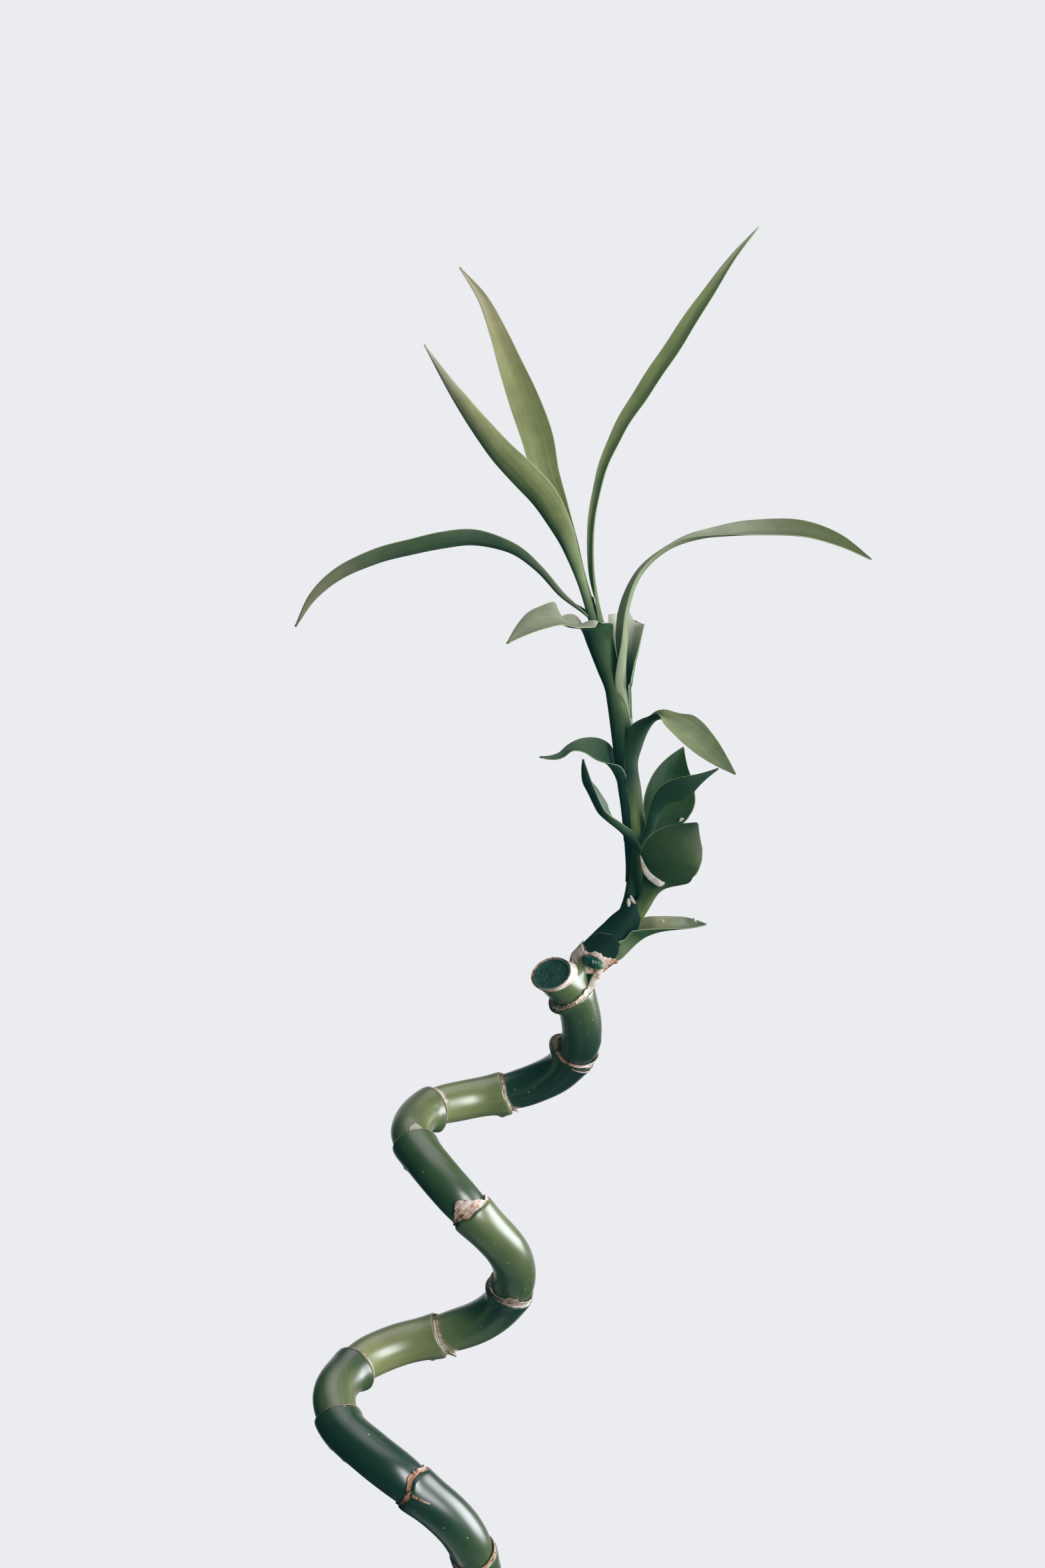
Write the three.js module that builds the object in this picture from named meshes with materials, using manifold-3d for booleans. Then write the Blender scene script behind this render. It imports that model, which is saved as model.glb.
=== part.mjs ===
// A lucky bamboo trained into a spiral, standing in a plain white vase filled with pebbles.
// Millimetres, +Z up, origin in the centre of the vase's flat underside, -Y towards the side that is seen.
import * as THREE from "three";
import Module from "manifold-3d";

// Driving dimensions.
const CANE_RADIUS = 6.15; // of an internode near the foot
const CANE_END_RADIUS = 5.6; // under the cut
const CANE_SIDES = 16;
const TAPER_START = 150; // along the centre line
const LIP = 0.4; // how far the cane swells under a node
const LIP_BELOW = 3.2; // from the node to the middle of that swelling
const LIP_LENGTH = 2.2;
const WAIST = 0.22; // how far the cane draws in above a node
const WAIST_ABOVE = 4.5;
const WAIST_LENGTH = 4;
const GROOVE_HALF = 2.1; // half the length of the groove under a husk ring
const GROOVE_DEPTH = 0.6;
const GROOVE_SLOPE = 0.5; // length of the groove's sloping end
const LONG_STEP = 14; // between stations of the straight lower cane
const SHORT_STEP = 5.6; // and of the coil
const HUSK_PROUD = 0.35; // of the husk ring beyond the cane
const HUSK_THICKNESS = 0.65;
const HUSK_RIPPLE = 0.08;
const CLEAR = 0.3; // between two pieces
const BLADE = 0.7; // thickness of a leaf
const NARROWEST = 0.35; // half width that a leaf keeps at its tip
const FLATTEST = 8; // half the angle, in degrees, that the flattest leaf section curls through
const SHOOT_SIDES = 10;
const COLLAR_START = 2.8; // along the shoot's core
const COLLAR_LENGTH = 3.8;
const COLLAR_GAP = 1.2; // from the core to the collar's inside
const COLLAR_FLARE = 0.25; // from one row of the collar to the next
const COLLAR_WALL = 0.65;
const COLLAR_SIDES = 14;
const BUD_CENTRE = [29.8, -15.2, 335.9];
const BUD_SIZE = [3.4, 1.6, 1.8]; // half lengths
const BUD_LEAN = 0.42; // radians, down to the right
const BUD_TURN = -0.15; // radians, about +Z
const VASE_HEIGHT = 110;
const VASE_RIM_RADIUS = 45;
const VASE_FOOT_RADIUS = 38;
const VASE_WALL = 4.5;
const VASE_FLOOR = 7;
const VASE_EDGE = 1.2; // chamfer of the foot and of the rim
const VASE_CORNER = 3; // chamfer inside, where the wall meets the floor
const PEBBLE_TOP = 90; // mean height of the pebbles' surface
const PEBBLE_RADIUS = 9.2;
const PEBBLE_PITCH = 17; // from one pebble to the next round a ring
const PEBBLE_RINGS = 3;
const RING_PITCH = 12.6; // from one ring of pebbles to the next
const OUTER_RING_INSET = 5.4; // of the outermost ring's middle from the wall

// The cane's centre line, from the cut foot among the pebbles to the cut top.
const CANE_LINE = [
  [0, 0, 20], [0, 0, 70], [0, 0, 120], [0, 0, 154], [-5.4, -14.1, 179], [-19.5, -20, 194.4],
  [-30.7, -17.1, 202.4], [-39.6, -7.8, 207.4], [-42.1, 1.7, 214.2], [-36.1, 13.4, 218.8],
  [-25.9, 18.8, 222.5], [-13.4, 19.8, 225.4], [-2.7, 16.4, 229.7], [4.2, 10.6, 235.7], [7.7, 3.5, 242.6],
  [8.1, -3.5, 250.2], [5.2, -12.3, 258], [-3.2, -19.7, 268.4], [-12.5, -17.3, 278.3], [-19.6, -7.5, 285.4],
  [-20.4, 1.7, 288.7], [-17.6, 10, 291.4], [-13.2, 14.9, 292.4], [-4.3, 19, 293.7], [5.9, 19.9, 295.5],
  [14, 17.7, 298.3], [21.2, 12.9, 302.6], [26.1, 5.8, 309.4], [27.1, -0.7, 315.4], [26, -7.5, 322.6],
  [23.5, -12.5, 328.3], [18.3, -19.3, 333.1],
];
// Where the nodes sit, in millimetres of centre line from the foot.
const NODES = [
  42, 70, 98.5, 127, 156, 185.6, 217.6, 240.1, 265.1, 298.2, 336.7, 365.2, 390.2, 411.2, 440.2, 467.7,
];

// The shoot's core: x, y, z and radius, from the cane to the heart of the leaves.
const SHOOT_LINE = [
  [24.9, -7, 332.1, 2.9], [29, -8, 336, 3], [33.2, -8, 340.2, 2.9], [36.9, -8, 344.1, 2.8],
  [39.8, -8, 348.7, 2.8], [41.4, -8, 354, 2.7], [42, -8, 359.6, 2.6], [41.8, -8, 365.4, 2.4],
  [41.3, -8, 371.9, 2.2], [40.5, -8, 380.2, 2.1], [39.2, -8, 389.4, 2.1], [38, -8, 398.6, 2],
  [36.8, -7.5, 407.8, 1.8], [35, -7, 416.2, 1.5], [32.8, -6, 423.6, 1.3], [30.8, -5.5, 430.1, 1.1],
  [29.4, -5, 436.4, 0.8],
];

// The leaves and scales, lowest first. Each sheathes the shoot from foot over reach millimetres, at an
// azimuth counted from the front towards the right, through wrap degrees to either side, and offset from
// the core's surface. Past the sheath it follows the points of its rib. Half widths are measured along the
// curved section, cup is half the angle that the section curls through, and face is how far the upper face
// is turned away from the front. The values of half, cup and face stand evenly along the free part.
const LEAVES = [
  {
    name: "leaf_scale_long", foot: 7.8, reach: 19.1, azimuth: [6, 4],
    wrap: [85, 85, 82, 70, 45, 16], offset: [1.75, 1.6],
  },
  {
    name: "leaf_low_right", foot: 8, reach: 3, azimuth: [80, 84], wrap: [70, 75], offset: [2.9, 3],
    rib: [[40, -8.2, 338.7], [43.6, -8.1, 342], [47.5, -9.7, 344.2], [52, -11.3, 345.2], [61, -13, 346.1]],
    half: [7.7, 7.3, 6.3, 4.2, 3.3, 2.3, 0.2], cup: [75, 70, 64, 57, 49, 40, 30],
    face: [-96, -91, -80, -65, -58, -53, -50],
  },
  {
    name: "leaf_round", foot: 10.5, reach: 10, azimuth: [60, 62], wrap: [110, 105], offset: [0.75, 0.85],
    rib: [
      [45, -11, 350.5], [46.8, -14.6, 355.2], [49, -19, 359.2], [51, -22.7, 364], [54, -24, 369.2],
      [57.7, -22, 374],
    ],
    half: [6.7, 4.1, 4, 7, 9.1, 6.8, 0.4], cup: [105, 83, 56, 35, 30, 30, 30],
    face: [-118, -121, -143, -163, -171, -172, -172],
  },
  {
    name: "leaf_left_low", foot: 37.5, reach: 3, azimuth: [60, 25], wrap: [60, 60], offset: [0.75, 0.9],
    rib: [
      [39.5, -12, 370], [35.5, -13.5, 373.2], [31.5, -14, 376.6], [29, -14, 381.4], [26.9, -13.2, 386],
      [27.1, -13, 391.4],
    ],
    half: [3.4, 2.2, 2.7, 5, 4.7, 4.4, 0.4], cup: [60, 68, 62, 51, 50, 48, 40],
    face: [205, 134, 94, 79, 82, 88, 90],
  },
  {
    name: "leaf_right_pointed", foot: 38.6, reach: 3, azimuth: [115, 112], wrap: [60, 60], offset: [0.75, 1],
    rib: [[46.7, -3, 371], [50, -0.5, 375], [52, 2, 379.5], [52.7, 3.7, 384.7], [54, 5, 390], [56, 5, 395]],
    half: [3.5, 3.3, 6.4, 7.4, 6.4, 3.8, 0.2], cup: [60, 38, 27, 24, 24, 24, 24],
    face: [-68, -43, -20, -11, -12, -12],
  },
  {
    name: "leaf_right_dark", foot: 39.7, reach: 2.6, azimuth: [80, 80], wrap: [60, 60], offset: [0.75, 1.1],
    rib: [
      [46.8, -11, 372.5], [48.1, -13, 377.1], [50.8, -14.9, 380.9], [55, -16, 383.5], [59.5, -15.8, 386.2],
      [64, -15, 388.8],
    ],
    half: [3.6, 3.2, 3.4, 4.2, 3.3, 1.4, 0.2], cup: [60, 67, 50, 34, 31, 30, 30],
    face: [-98, -109, -126, -142, -147, -149, -150],
  },
  {
    name: "leaf_front_drooping", foot: 43.8, reach: 20,
    azimuth: [55, 70], wrap: [75, 80], offset: [0.8, 0.95],
    rib: [
      [44.1, -11.1, 397.7], [47.8, -15.9, 402.6], [52.2, -22.8, 400.8], [56.4, -29, 397], [61, -34, 392.2],
      [66.5, -38, 387.2],
    ],
    half: [4.3, 3.8, 2.5, 4.75, 4.35, 3.1, 0.2], cup: [80, 76, 55, 27, 24, 24, 24],
    face: [-110, -111, -72, -46, -23, -21, -20],
  },
  {
    name: "leaf_left_up", foot: 53.5, reach: 3.7, azimuth: [-80, -82], wrap: [70, 70], offset: [0.75, 0.85],
    rib: [
      [36.3, -8, 386.8], [33.1, -9.1, 391.2], [29, -11.1, 394.1], [24.4, -13.3, 394.5], [20.2, -14.4, 391.7],
      [15.2, -15, 391.9],
    ],
    half: [3.6, 4.5, 5.6, 3.7, 1.8, 1.3, 0.2], cup: [70, 68, 40, 27, 26, 26, 26],
    face: [98, 90, 66, 42, 44, 50, 50],
  },
  {
    name: "leaf_funnel_left", foot: 73.2, reach: 13, azimuth: [-20, -20], wrap: [100, 95], offset: [0.8, 1.1],
    rib: [
      [32.3, -9.2, 420.8], [28, -14.1, 427], [24.3, -23.3, 427.3], [18.7, -31.5, 428.1], [12.9, -39.1, 426],
      [6.5, -45, 421.1],
    ],
    half: [4.8, 5.7, 7.2, 7.7, 5, 3.4, 0.2], cup: [95, 94, 84, 46, 28, 24, 24],
    face: [160, 165, 120, 82, 48, 31, 32],
  },
  {
    name: "leaf_funnel_back", foot: 76.2, reach: 9,
    azimuth: [140, 150], wrap: [90, 88], offset: [1.1, 1.4, 1.9, 2.6],
    rib: [
      [38.6, -3.2, 413.5], [39.3, -2.6, 418], [40.1, -1.8, 421.6], [40.8, -0.9, 425.6], [41.4, 0.5, 430],
    ],
    half: [6.4, 6.3, 6, 5.4, 5.8, 6.4], cup: [88, 87, 87, 88, 85, 78], face: [-28, -25, -20, -12, -9, -8],
  },
  {
    name: "leaf_long_right", foot: 80.3, reach: 6,
    azimuth: [80, 62], wrap: [40, 62], offset: [1, 1.3],
    rib: [
      [39.3, -9, 424.9], [40.7, -9, 437.7], [48.4, -9, 447.8], [60, -6.9, 452.7], [72.5, -4.3, 454.4],
      [85, -1.6, 455.1], [97.3, 1.4, 453.2], [108.8, 3, 447.8],
    ],
    half: [3.5, 4, 2.7, 2.3, 3.9, 5.1, 5.3, 3.5, 0.2], cup: [66, 72, 60, 46, 30, 22, 22, 22, 22],
    face: [-110, -75, -70, -84, -72, -61, -56, -49, -46],
  },
  {
    name: "leaf_top_right", foot: 97.4, reach: 8, azimuth: [60, 66], wrap: [40, 50], offset: [0.72, 0.8],
    rib: [
      [29.8, -5.3, 447.1], [31.1, -2.5, 463.8], [36, 2.3, 479.4], [43.9, 7.6, 493.4], [52.6, 13.1, 507],
      [61.1, 18.7, 520.7], [69.7, 23.8, 534.5], [79.6, 28, 547.7],
    ],
    half: [1.5, 1.6, 1.7, 2.6, 3.6, 3.8, 3.4, 2, 0.2], cup: [50, 64, 46, 27, 21, 20, 20, 20, 20],
    face: [-114, -54, -50, -50, -50, -50, -50, -50, -50],
  },
  {
    name: "leaf_top_left", foot: 98.6, reach: 8, azimuth: [-40, -42], wrap: [40, 50], offset: [0.72, 0.8],
    rib: [
      [26.2, -9.4, 440.8], [22.4, -10.4, 451.1], [17.6, -11.3, 460.9], [10.4, -13.1, 469.1],
      [2.8, -14.8, 476.9], [-3.9, -16.5, 485.5], [-10.2, -18.7, 494.4], [-16.1, -20, 503.6],
    ],
    half: [1.6, 1.8, 3, 4.2, 4.3, 3.6, 2.6, 1.4, 0.2], cup: [50, 65, 43, 30, 26, 22, 22, 22, 22],
    face: [138, 148, 150, 150, 150],
  },
  {
    name: "leaf_top_back", foot: 99.4, reach: 8, azimuth: [-160, -165], wrap: [40, 50], offset: [0.72, 0.8],
    rib: [
      [26.2, 0.5, 443.9], [22.2, 3.7, 456.9], [17.7, 6.9, 469.6], [14.7, 9.4, 482.6], [10.3, 11.4, 495.6],
      [5.4, 13, 508.4], [0.5, 14, 521.3], [-7.5, 14, 532.6],
    ],
    half: [1.6, 1.9, 3, 3.9, 4.7, 4.4, 3.1, 1.8, 0.2], cup: [50, 57, 39, 28, 24, 22, 22, 22, 22],
    face: [15, 10, 3, 0, 0],
  },
  {
    name: "leaf_long_left", foot: 100.6, reach: 6.5,
    azimuth: [-100, -100], wrap: [40, 50], offset: [0.72, 0.95],
    rib: [
      [20, -8.9, 437.4], [11.8, -11.4, 446], [1, -13.8, 450.8], [-10.9, -16.3, 450.5], [-22.6, -18.4, 447.6],
      [-34.2, -19.7, 443.9], [-44.2, -20.9, 437.2], [-50.9, -22, 427.1],
    ],
    half: [1.6, 1.9, 2.3, 3.4, 3.6, 3.2, 2.9, 1.8, 0.2], cup: [50, 61, 41, 24, 20, 20, 20, 20, 20],
    face: [80, 107, 117, 122, 124, 125, 125, 130, 130],
  },
  {
    name: "leaf_scale_short", foot: 5.8, reach: 9.4,
    azimuth: [0, 6], wrap: [48, 55, 55, 40, 18], offset: [2.9, 3],
  },
];
const SHEATH_ROWS = 4;
const FREE_ROWS = 10;

const wasm = await Module();
wasm.setup();
const { Manifold } = wasm;

let seed = 71;
function random() {
  seed = (seed * 16807) % 2147483647;
  return seed / 2147483647;
}

// A row of the list. Past either end the list is carried on straight.
function rowAt(rows, i) {
  if (i < 0) return rows[0].map((v, j) => 2 * v - rows[1][j]);
  if (i >= rows.length) return rows.at(-1).map((v, j) => 2 * v - rows.at(-2)[j]);
  return rows[i];
}

// The row at u past row k of a smooth curve through all the rows.
function curve(rows, k, u) {
  const [a, b, c, d] = [-1, 0, 1, 2].map((step) => rowAt(rows, k + step));
  return b.map((_, j) => {
    const first = (c[j] - a[j]) * u;
    const second = (2 * a[j] - 5 * b[j] + 4 * c[j] - d[j]) * u * u;
    const third = (3 * b[j] - a[j] - 3 * c[j] + d[j]) * u ** 3;
    return 0.5 * (2 * b[j] + first + second + third);
  });
}

// Points of a curve through the rows, with their distance along it.
function trace(rows, perRow = 24) {
  const points = [];
  for (let k = 0; k < rows.length - 1; k++) {
    for (let i = 0; i < perRow; i++) points.push(curve(rows, k, i / perRow));
  }
  points.push(rows.at(-1).slice());
  let s = 0;
  return points.map((p, i) => {
    if (i) s += vec(p).distanceTo(vec(points[i - 1]));
    return { s, p };
  });
}

function along(line, s) {
  let i = 1;
  while (i < line.length - 1 && line[i].s < s) i++;
  const before = line[i - 1];
  const after = line[i];
  const u = THREE.MathUtils.clamp((s - before.s) / (after.s - before.s), 0, 1);
  return before.p.map((v, j) => v + (after.p[j] - v) * u);
}

function vec(p) {
  return new THREE.Vector3(p[0], p[1], p[2]);
}

// The direction of a line of points at each of them.
function ways(points) {
  return points.map((p, i) => {
    const after = vec(points[Math.min(i + 1, points.length - 1)]);
    return after.sub(vec(points[Math.max(i - 1, 0)])).normalize();
  });
}

// Sideways directions carried along the curve without twist.
function carried(t) {
  const sides = [new THREE.Vector3(0, 1, 0).cross(t[0]).normalize()];
  for (let i = 1; i < t.length; i++) {
    const bend = new THREE.Quaternion().setFromUnitVectors(t[i - 1], t[i]);
    const side = sides[i - 1].clone().applyQuaternion(bend);
    sides.push(side.addScaledVector(t[i], -side.dot(t[i])).normalize());
  }
  return sides;
}

// A point round a centre, at a radius and an angle between two directions.
function pointRound(centre, side, other, radius, angle) {
  const out = side.clone().multiplyScalar(Math.cos(angle)).addScaledVector(other, Math.sin(angle));
  return vec(centre).addScaledVector(out, radius);
}

function turnOf(k, sides) {
  return (2 * Math.PI * k) / sides;
}

// Joins two rings of corners, counted from the first one, by two triangles a side.
function joinRings(faces, low, high, sides) {
  for (let k = 0; k < sides; k++) {
    const next = (k + 1) % sides;
    faces.push(low * sides + k, low * sides + next, high * sides + next);
    faces.push(low * sides + k, high * sides + next, high * sides + k);
  }
}

function joined(positions, faces) {
  const mesh = new wasm.Mesh({
    numProp: 3,
    vertProperties: new Float32Array(positions),
    triVerts: new Uint32Array(faces),
  });
  return new Manifold(mesh);
}

// A solid of corners and triangles, which are turned over where they all face inwards.
function solid(positions, faces) {
  const made = joined(positions, faces);
  if (made.volume() >= 0) return made;
  for (let i = 0; i < faces.length; i += 3) {
    [faces[i + 1], faces[i + 2]] = [faces[i + 2], faces[i + 1]];
  }
  return joined(positions, faces);
}

// A round bar through points with a radius at each station.
function bar(points, radius, sides, t = ways(points), n = carried(t)) {
  const positions = [];
  const faces = [];
  points.forEach((p, i) => {
    const other = t[i].clone().cross(n[i]);
    const r = radius(i);
    for (let k = 0; k < sides; k++) positions.push(...pointRound(p, n[i], other, r, turnOf(k, sides)));
  });
  for (let i = 0; i < points.length - 1; i++) joinRings(faces, i, i + 1, sides);
  for (const row of [0, points.length - 1]) {
    const centre = positions.length / 3;
    positions.push(...points[row].slice(0, 3));
    for (let k = 0; k < sides; k++) {
      const here = row * sides + k;
      const next = row * sides + ((k + 1) % sides);
      faces.push(centre, row ? here : next, row ? next : here);
    }
  }
  return solid(positions, faces);
}

const caneLine = trace(CANE_LINE);
const caneLength = caneLine.at(-1).s;

// The cane's own radius, without the grooves for the husk rings.
function caneRadius(s) {
  const taper = THREE.MathUtils.smoothstep(s, TAPER_START, caneLength);
  let r = THREE.MathUtils.lerp(CANE_RADIUS, CANE_END_RADIUS, taper);
  for (const node of NODES) {
    const d = s - node;
    r += LIP * Math.exp(-(((d + LIP_BELOW) / LIP_LENGTH) ** 2));
    r -= WAIST * Math.exp(-(((d - WAIST_ABOVE) / WAIST_LENGTH) ** 2));
  }
  return r;
}

// Stations of the cane. The ends of the grooves fall on stations, so that the rings sit evenly in them.
function caneStations() {
  const grooveEnd = GROOVE_HALF + GROOVE_SLOPE;
  const marks = new Set([0, caneLength]);
  for (const node of NODES) {
    for (const d of [-4.6, -grooveEnd, -GROOVE_HALF, GROOVE_HALF, grooveEnd, 5.5]) marks.add(node + d);
  }
  const sorted = [...marks].sort((a, b) => a - b);
  const all = [0];
  for (let i = 1; i < sorted.length; i++) {
    const start = sorted[i - 1];
    const run = sorted[i] - start;
    const steps = Math.max(1, Math.round(run / (start < TAPER_START ? LONG_STEP : SHORT_STEP)));
    for (let k = 1; k < steps; k++) all.push(start + (run * k) / steps);
    all.push(sorted[i]);
  }
  return all;
}

const stations = caneStations();
const canePoints = stations.map((s) => along(caneLine, s).slice(0, 3));
const caneWays = stations.map((s) => {
  const before = vec(along(caneLine, Math.max(0, s - 2)));
  return vec(along(caneLine, Math.min(caneLength, s + 2))).sub(before).normalize();
});
const caneSides = carried(caneWays);

function besideNode(s, node) {
  return Math.abs(s - node) <= GROOVE_HALF + 0.01;
}

// The cane with its grooves, or else with the husk rings in them filled up to a plain bar.
function cane(grow = 0, grooves = true) {
  const last = canePoints.length - 1;
  const points = canePoints.map((p, i) => {
    if (i > 0 && i < last) return p;
    return vec(p).addScaledVector(caneWays[i], i ? grow : -grow).toArray();
  });
  const radius = (i) => {
    const plain = caneRadius(stations[i]) + grow;
    if (!NODES.some((node) => besideNode(stations[i], node))) return plain;
    return plain + (grooves ? -GROOVE_DEPTH : HUSK_PROUD + 0.1);
  };
  return bar(points, radius, CANE_SIDES, caneWays, caneSides);
}

// The dry band round a node, let into the cane's groove.
function husk(node) {
  const rows = stations.map((s, i) => i).filter((i) => besideNode(stations[i], node));
  const first = rows[0];
  const last = rows.at(-1);
  const inner = caneRadius(node) - GROOVE_DEPTH + CLEAR;
  const outer = Math.max(caneRadius(node) + HUSK_PROUD, inner + HUSK_THICKNESS);
  // the corners of its section: station, shift along the cane, radius, and how far it ripples
  const corners = [
    [first, CLEAR, inner, 0], [first, CLEAR, outer, HUSK_RIPPLE],
    [last, -CLEAR, outer, HUSK_RIPPLE], [last, -CLEAR, inner, 0],
  ];
  const positions = [];
  const faces = [];
  corners.forEach(([i, shift, r, ripple], corner) => {
    const other = caneWays[i].clone().cross(caneSides[i]);
    const centre = vec(canePoints[i]).addScaledVector(caneWays[i], shift).toArray();
    for (let k = 0; k < CANE_SIDES; k++) {
      const a = turnOf(k, CANE_SIDES);
      positions.push(...pointRound(centre, caneSides[i], other, r + ripple * Math.sin(3 * a + node), a));
    }
    joinRings(faces, corner, (corner + 1) % corners.length, CANE_SIDES);
  });
  return solid(positions, faces);
}

const shootLine = trace(SHOOT_LINE);

function shoot(grow = 0) {
  const length = shootLine.at(-1).s;
  const count = 26;
  const rows = Array.from({ length: count + 1 }, (_, i) => along(shootLine, (length * i) / count));
  const t = ways(rows);
  rows[0] = [...vec(rows[0]).addScaledVector(t[0], -grow), rows[0][3]];
  rows[count] = [...vec(rows[count]).addScaledVector(t[count], grow), rows[count][3]];
  return bar(rows, (i) => rows[i][3] + grow, SHOOT_SIDES, t);
}

// The value at u (0 to 1) of a smooth run of evenly spaced values.
function spread(values, u) {
  const place = u * (values.length - 1);
  const k = Math.min(Math.floor(place), values.length - 2);
  return curve(values.map((v) => [v]), k, place - k)[0];
}

// The direction that an upper face looks in: to the front, turned about the way t by an angle.
function facing(t, degrees) {
  const front = new THREE.Vector3(0, -1, 0);
  front.addScaledVector(t, -front.dot(t)).normalize();
  return front.applyAxisAngle(t, THREE.MathUtils.degToRad(degrees));
}

// Rows x, y, z, upper face's direction, half width and cup angle, from a leaf's foot to its tip.
function leafRows(leaf) {
  const rows = [];
  const sheath = leaf.rib ? SHEATH_ROWS : 2 * SHEATH_ROWS;
  for (let i = 0; i < sheath; i++) {
    const u = i / (sheath - 1);
    const s = leaf.foot + leaf.reach * u;
    const core = along(shootLine, s);
    const t = vec(along(shootLine, s + 0.5)).sub(vec(along(shootLine, s - 0.5))).normalize();
    const n = facing(t, spread(leaf.azimuth, u) + 180);
    const rho = core[3] + spread(leaf.offset, u);
    const wrap = spread(leaf.wrap, u);
    const rib = vec(core).addScaledVector(n, -rho);
    rows.push([...rib, ...n, rho * THREE.MathUtils.degToRad(wrap), wrap]);
  }
  if (!leaf.rib) return rows;
  const line = trace([rows.at(-1).slice(0, 3), ...leaf.rib]);
  const length = line.at(-1).s;
  for (let i = 1; i <= FREE_ROWS; i++) {
    const u = i / FREE_ROWS;
    const s = length * u;
    const t = vec(along(line, Math.min(length, s + 0.5))).sub(vec(along(line, s - 0.5))).normalize();
    const upper = facing(t, spread(leaf.face, u));
    rows.push([...along(line, s), ...upper, spread(leaf.half, u), spread(leaf.cup, u)]);
  }
  return rows;
}

// A leaf or scale: one curved blade, the same thickness all over.
function blade(leaf, grow = 0) {
  const line = trace(leafRows(leaf), 12);
  const length = line.at(-1).s;
  const count = THREE.MathUtils.clamp(Math.round(length / 4.8), 9, 20);
  const across = Math.max(...leaf.wrap) > 70 ? 6 : 4;
  const rows = Array.from({ length: count + 1 }, (_, i) => along(line, length * (i / count) ** 0.92));
  const t = ways(rows);
  const half = BLADE / 2 + grow;
  const positions = [];
  rows.forEach((row, i) => {
    const upper = new THREE.Vector3(row[3], row[4], row[5]);
    upper.addScaledVector(t[i], -upper.dot(t[i])).normalize();
    const side = t[i].clone().cross(upper);
    const cup = THREE.MathUtils.degToRad(Math.max(FLATTEST, row[7]));
    const radius = Math.max(NARROWEST, row[6]) / cup;
    const turn = Math.min(cup + grow / radius, 0.93 * Math.PI);
    const shift = { 0: -grow, [count]: grow }[i] ?? 0;
    const rib = vec(row).addScaledVector(t[i], shift);
    for (const face of [1, -1]) {
      for (let k = 0; k <= across; k++) {
        const a = turn * ((2 * k) / across - 1);
        // away from the middle of the curled section
        const out = side.clone().multiplyScalar(Math.sin(a)).addScaledVector(upper, -Math.cos(a));
        const middle = rib.clone().addScaledVector(upper, radius);
        positions.push(...middle.addScaledVector(out, radius - face * half));
      }
    }
  });
  return solid(positions, bladeFaces(count, across));
}

// The triangles of a blade whose corners run row by row, the upper face's before the under face's.
function bladeFaces(count, across) {
  const faces = [];
  const id = (i, face, k) => (i * 2 + face) * (across + 1) + k;
  const quad = (a, b, c, d) => faces.push(a, b, c, a, c, d);
  for (let i = 0; i < count; i++) {
    for (let k = 0; k < across; k++) {
      quad(id(i, 0, k), id(i, 0, k + 1), id(i + 1, 0, k + 1), id(i + 1, 0, k));
      // the under face is split along the same diagonal
      faces.push(id(i, 1, k), id(i + 1, 1, k + 1), id(i, 1, k + 1));
      faces.push(id(i, 1, k), id(i + 1, 1, k), id(i + 1, 1, k + 1));
    }
    quad(id(i, 0, 0), id(i + 1, 0, 0), id(i + 1, 1, 0), id(i, 1, 0));
    quad(id(i, 0, across), id(i, 1, across), id(i + 1, 1, across), id(i + 1, 0, across));
  }
  for (let k = 0; k < across; k++) {
    quad(id(0, 0, k), id(0, 1, k), id(0, 1, k + 1), id(0, 0, k + 1));
    quad(id(count, 0, k), id(count, 0, k + 1), id(count, 1, k + 1), id(count, 1, k));
  }
  return faces;
}

// A shape turned about +Z, from its outline as [radius, height] rows.
function turned(outline, sides = 44) {
  return Manifold.revolve([outline], sides);
}

// The vase's outside radius at a height.
function vaseRadius(z) {
  return THREE.MathUtils.lerp(VASE_FOOT_RADIUS, VASE_RIM_RADIUS, z / VASE_HEIGHT);
}

function vase() {
  const top = VASE_RIM_RADIUS;
  const floor = vaseRadius(VASE_FLOOR) - VASE_WALL;
  return turned([
    [0, 0], [VASE_FOOT_RADIUS - VASE_EDGE, 0], [VASE_FOOT_RADIUS, VASE_EDGE], [vaseRadius(36), 36],
    [vaseRadius(72), 72], [top, VASE_HEIGHT - 2], [top - VASE_EDGE, VASE_HEIGHT - 0.5],
    [top - VASE_WALL / 2, VASE_HEIGHT], [top - VASE_WALL + VASE_EDGE, VASE_HEIGHT - 0.5],
    [top - VASE_WALL, VASE_HEIGHT - 2], [floor, VASE_FLOOR + VASE_CORNER], [floor - VASE_CORNER, VASE_FLOOR],
    [0, VASE_FLOOR],
  ]);
}

// One pebble: a ball squashed and turned at random.
function pebble(x, y) {
  const ball = new THREE.IcosahedronGeometry(PEBBLE_RADIUS * (0.85 + 0.3 * random()), 1);
  ball.scale(1, 0.85 + 0.15 * random(), 0.62 + 0.2 * random());
  ball.rotateX(0.5 * (random() - 0.5)).rotateY(0.5 * (random() - 0.5)).rotateZ(2 * Math.PI * random());
  ball.translate(x, y, PEBBLE_TOP - 2.2 + 2 * random());
  return fromGeometry(ball);
}

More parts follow.
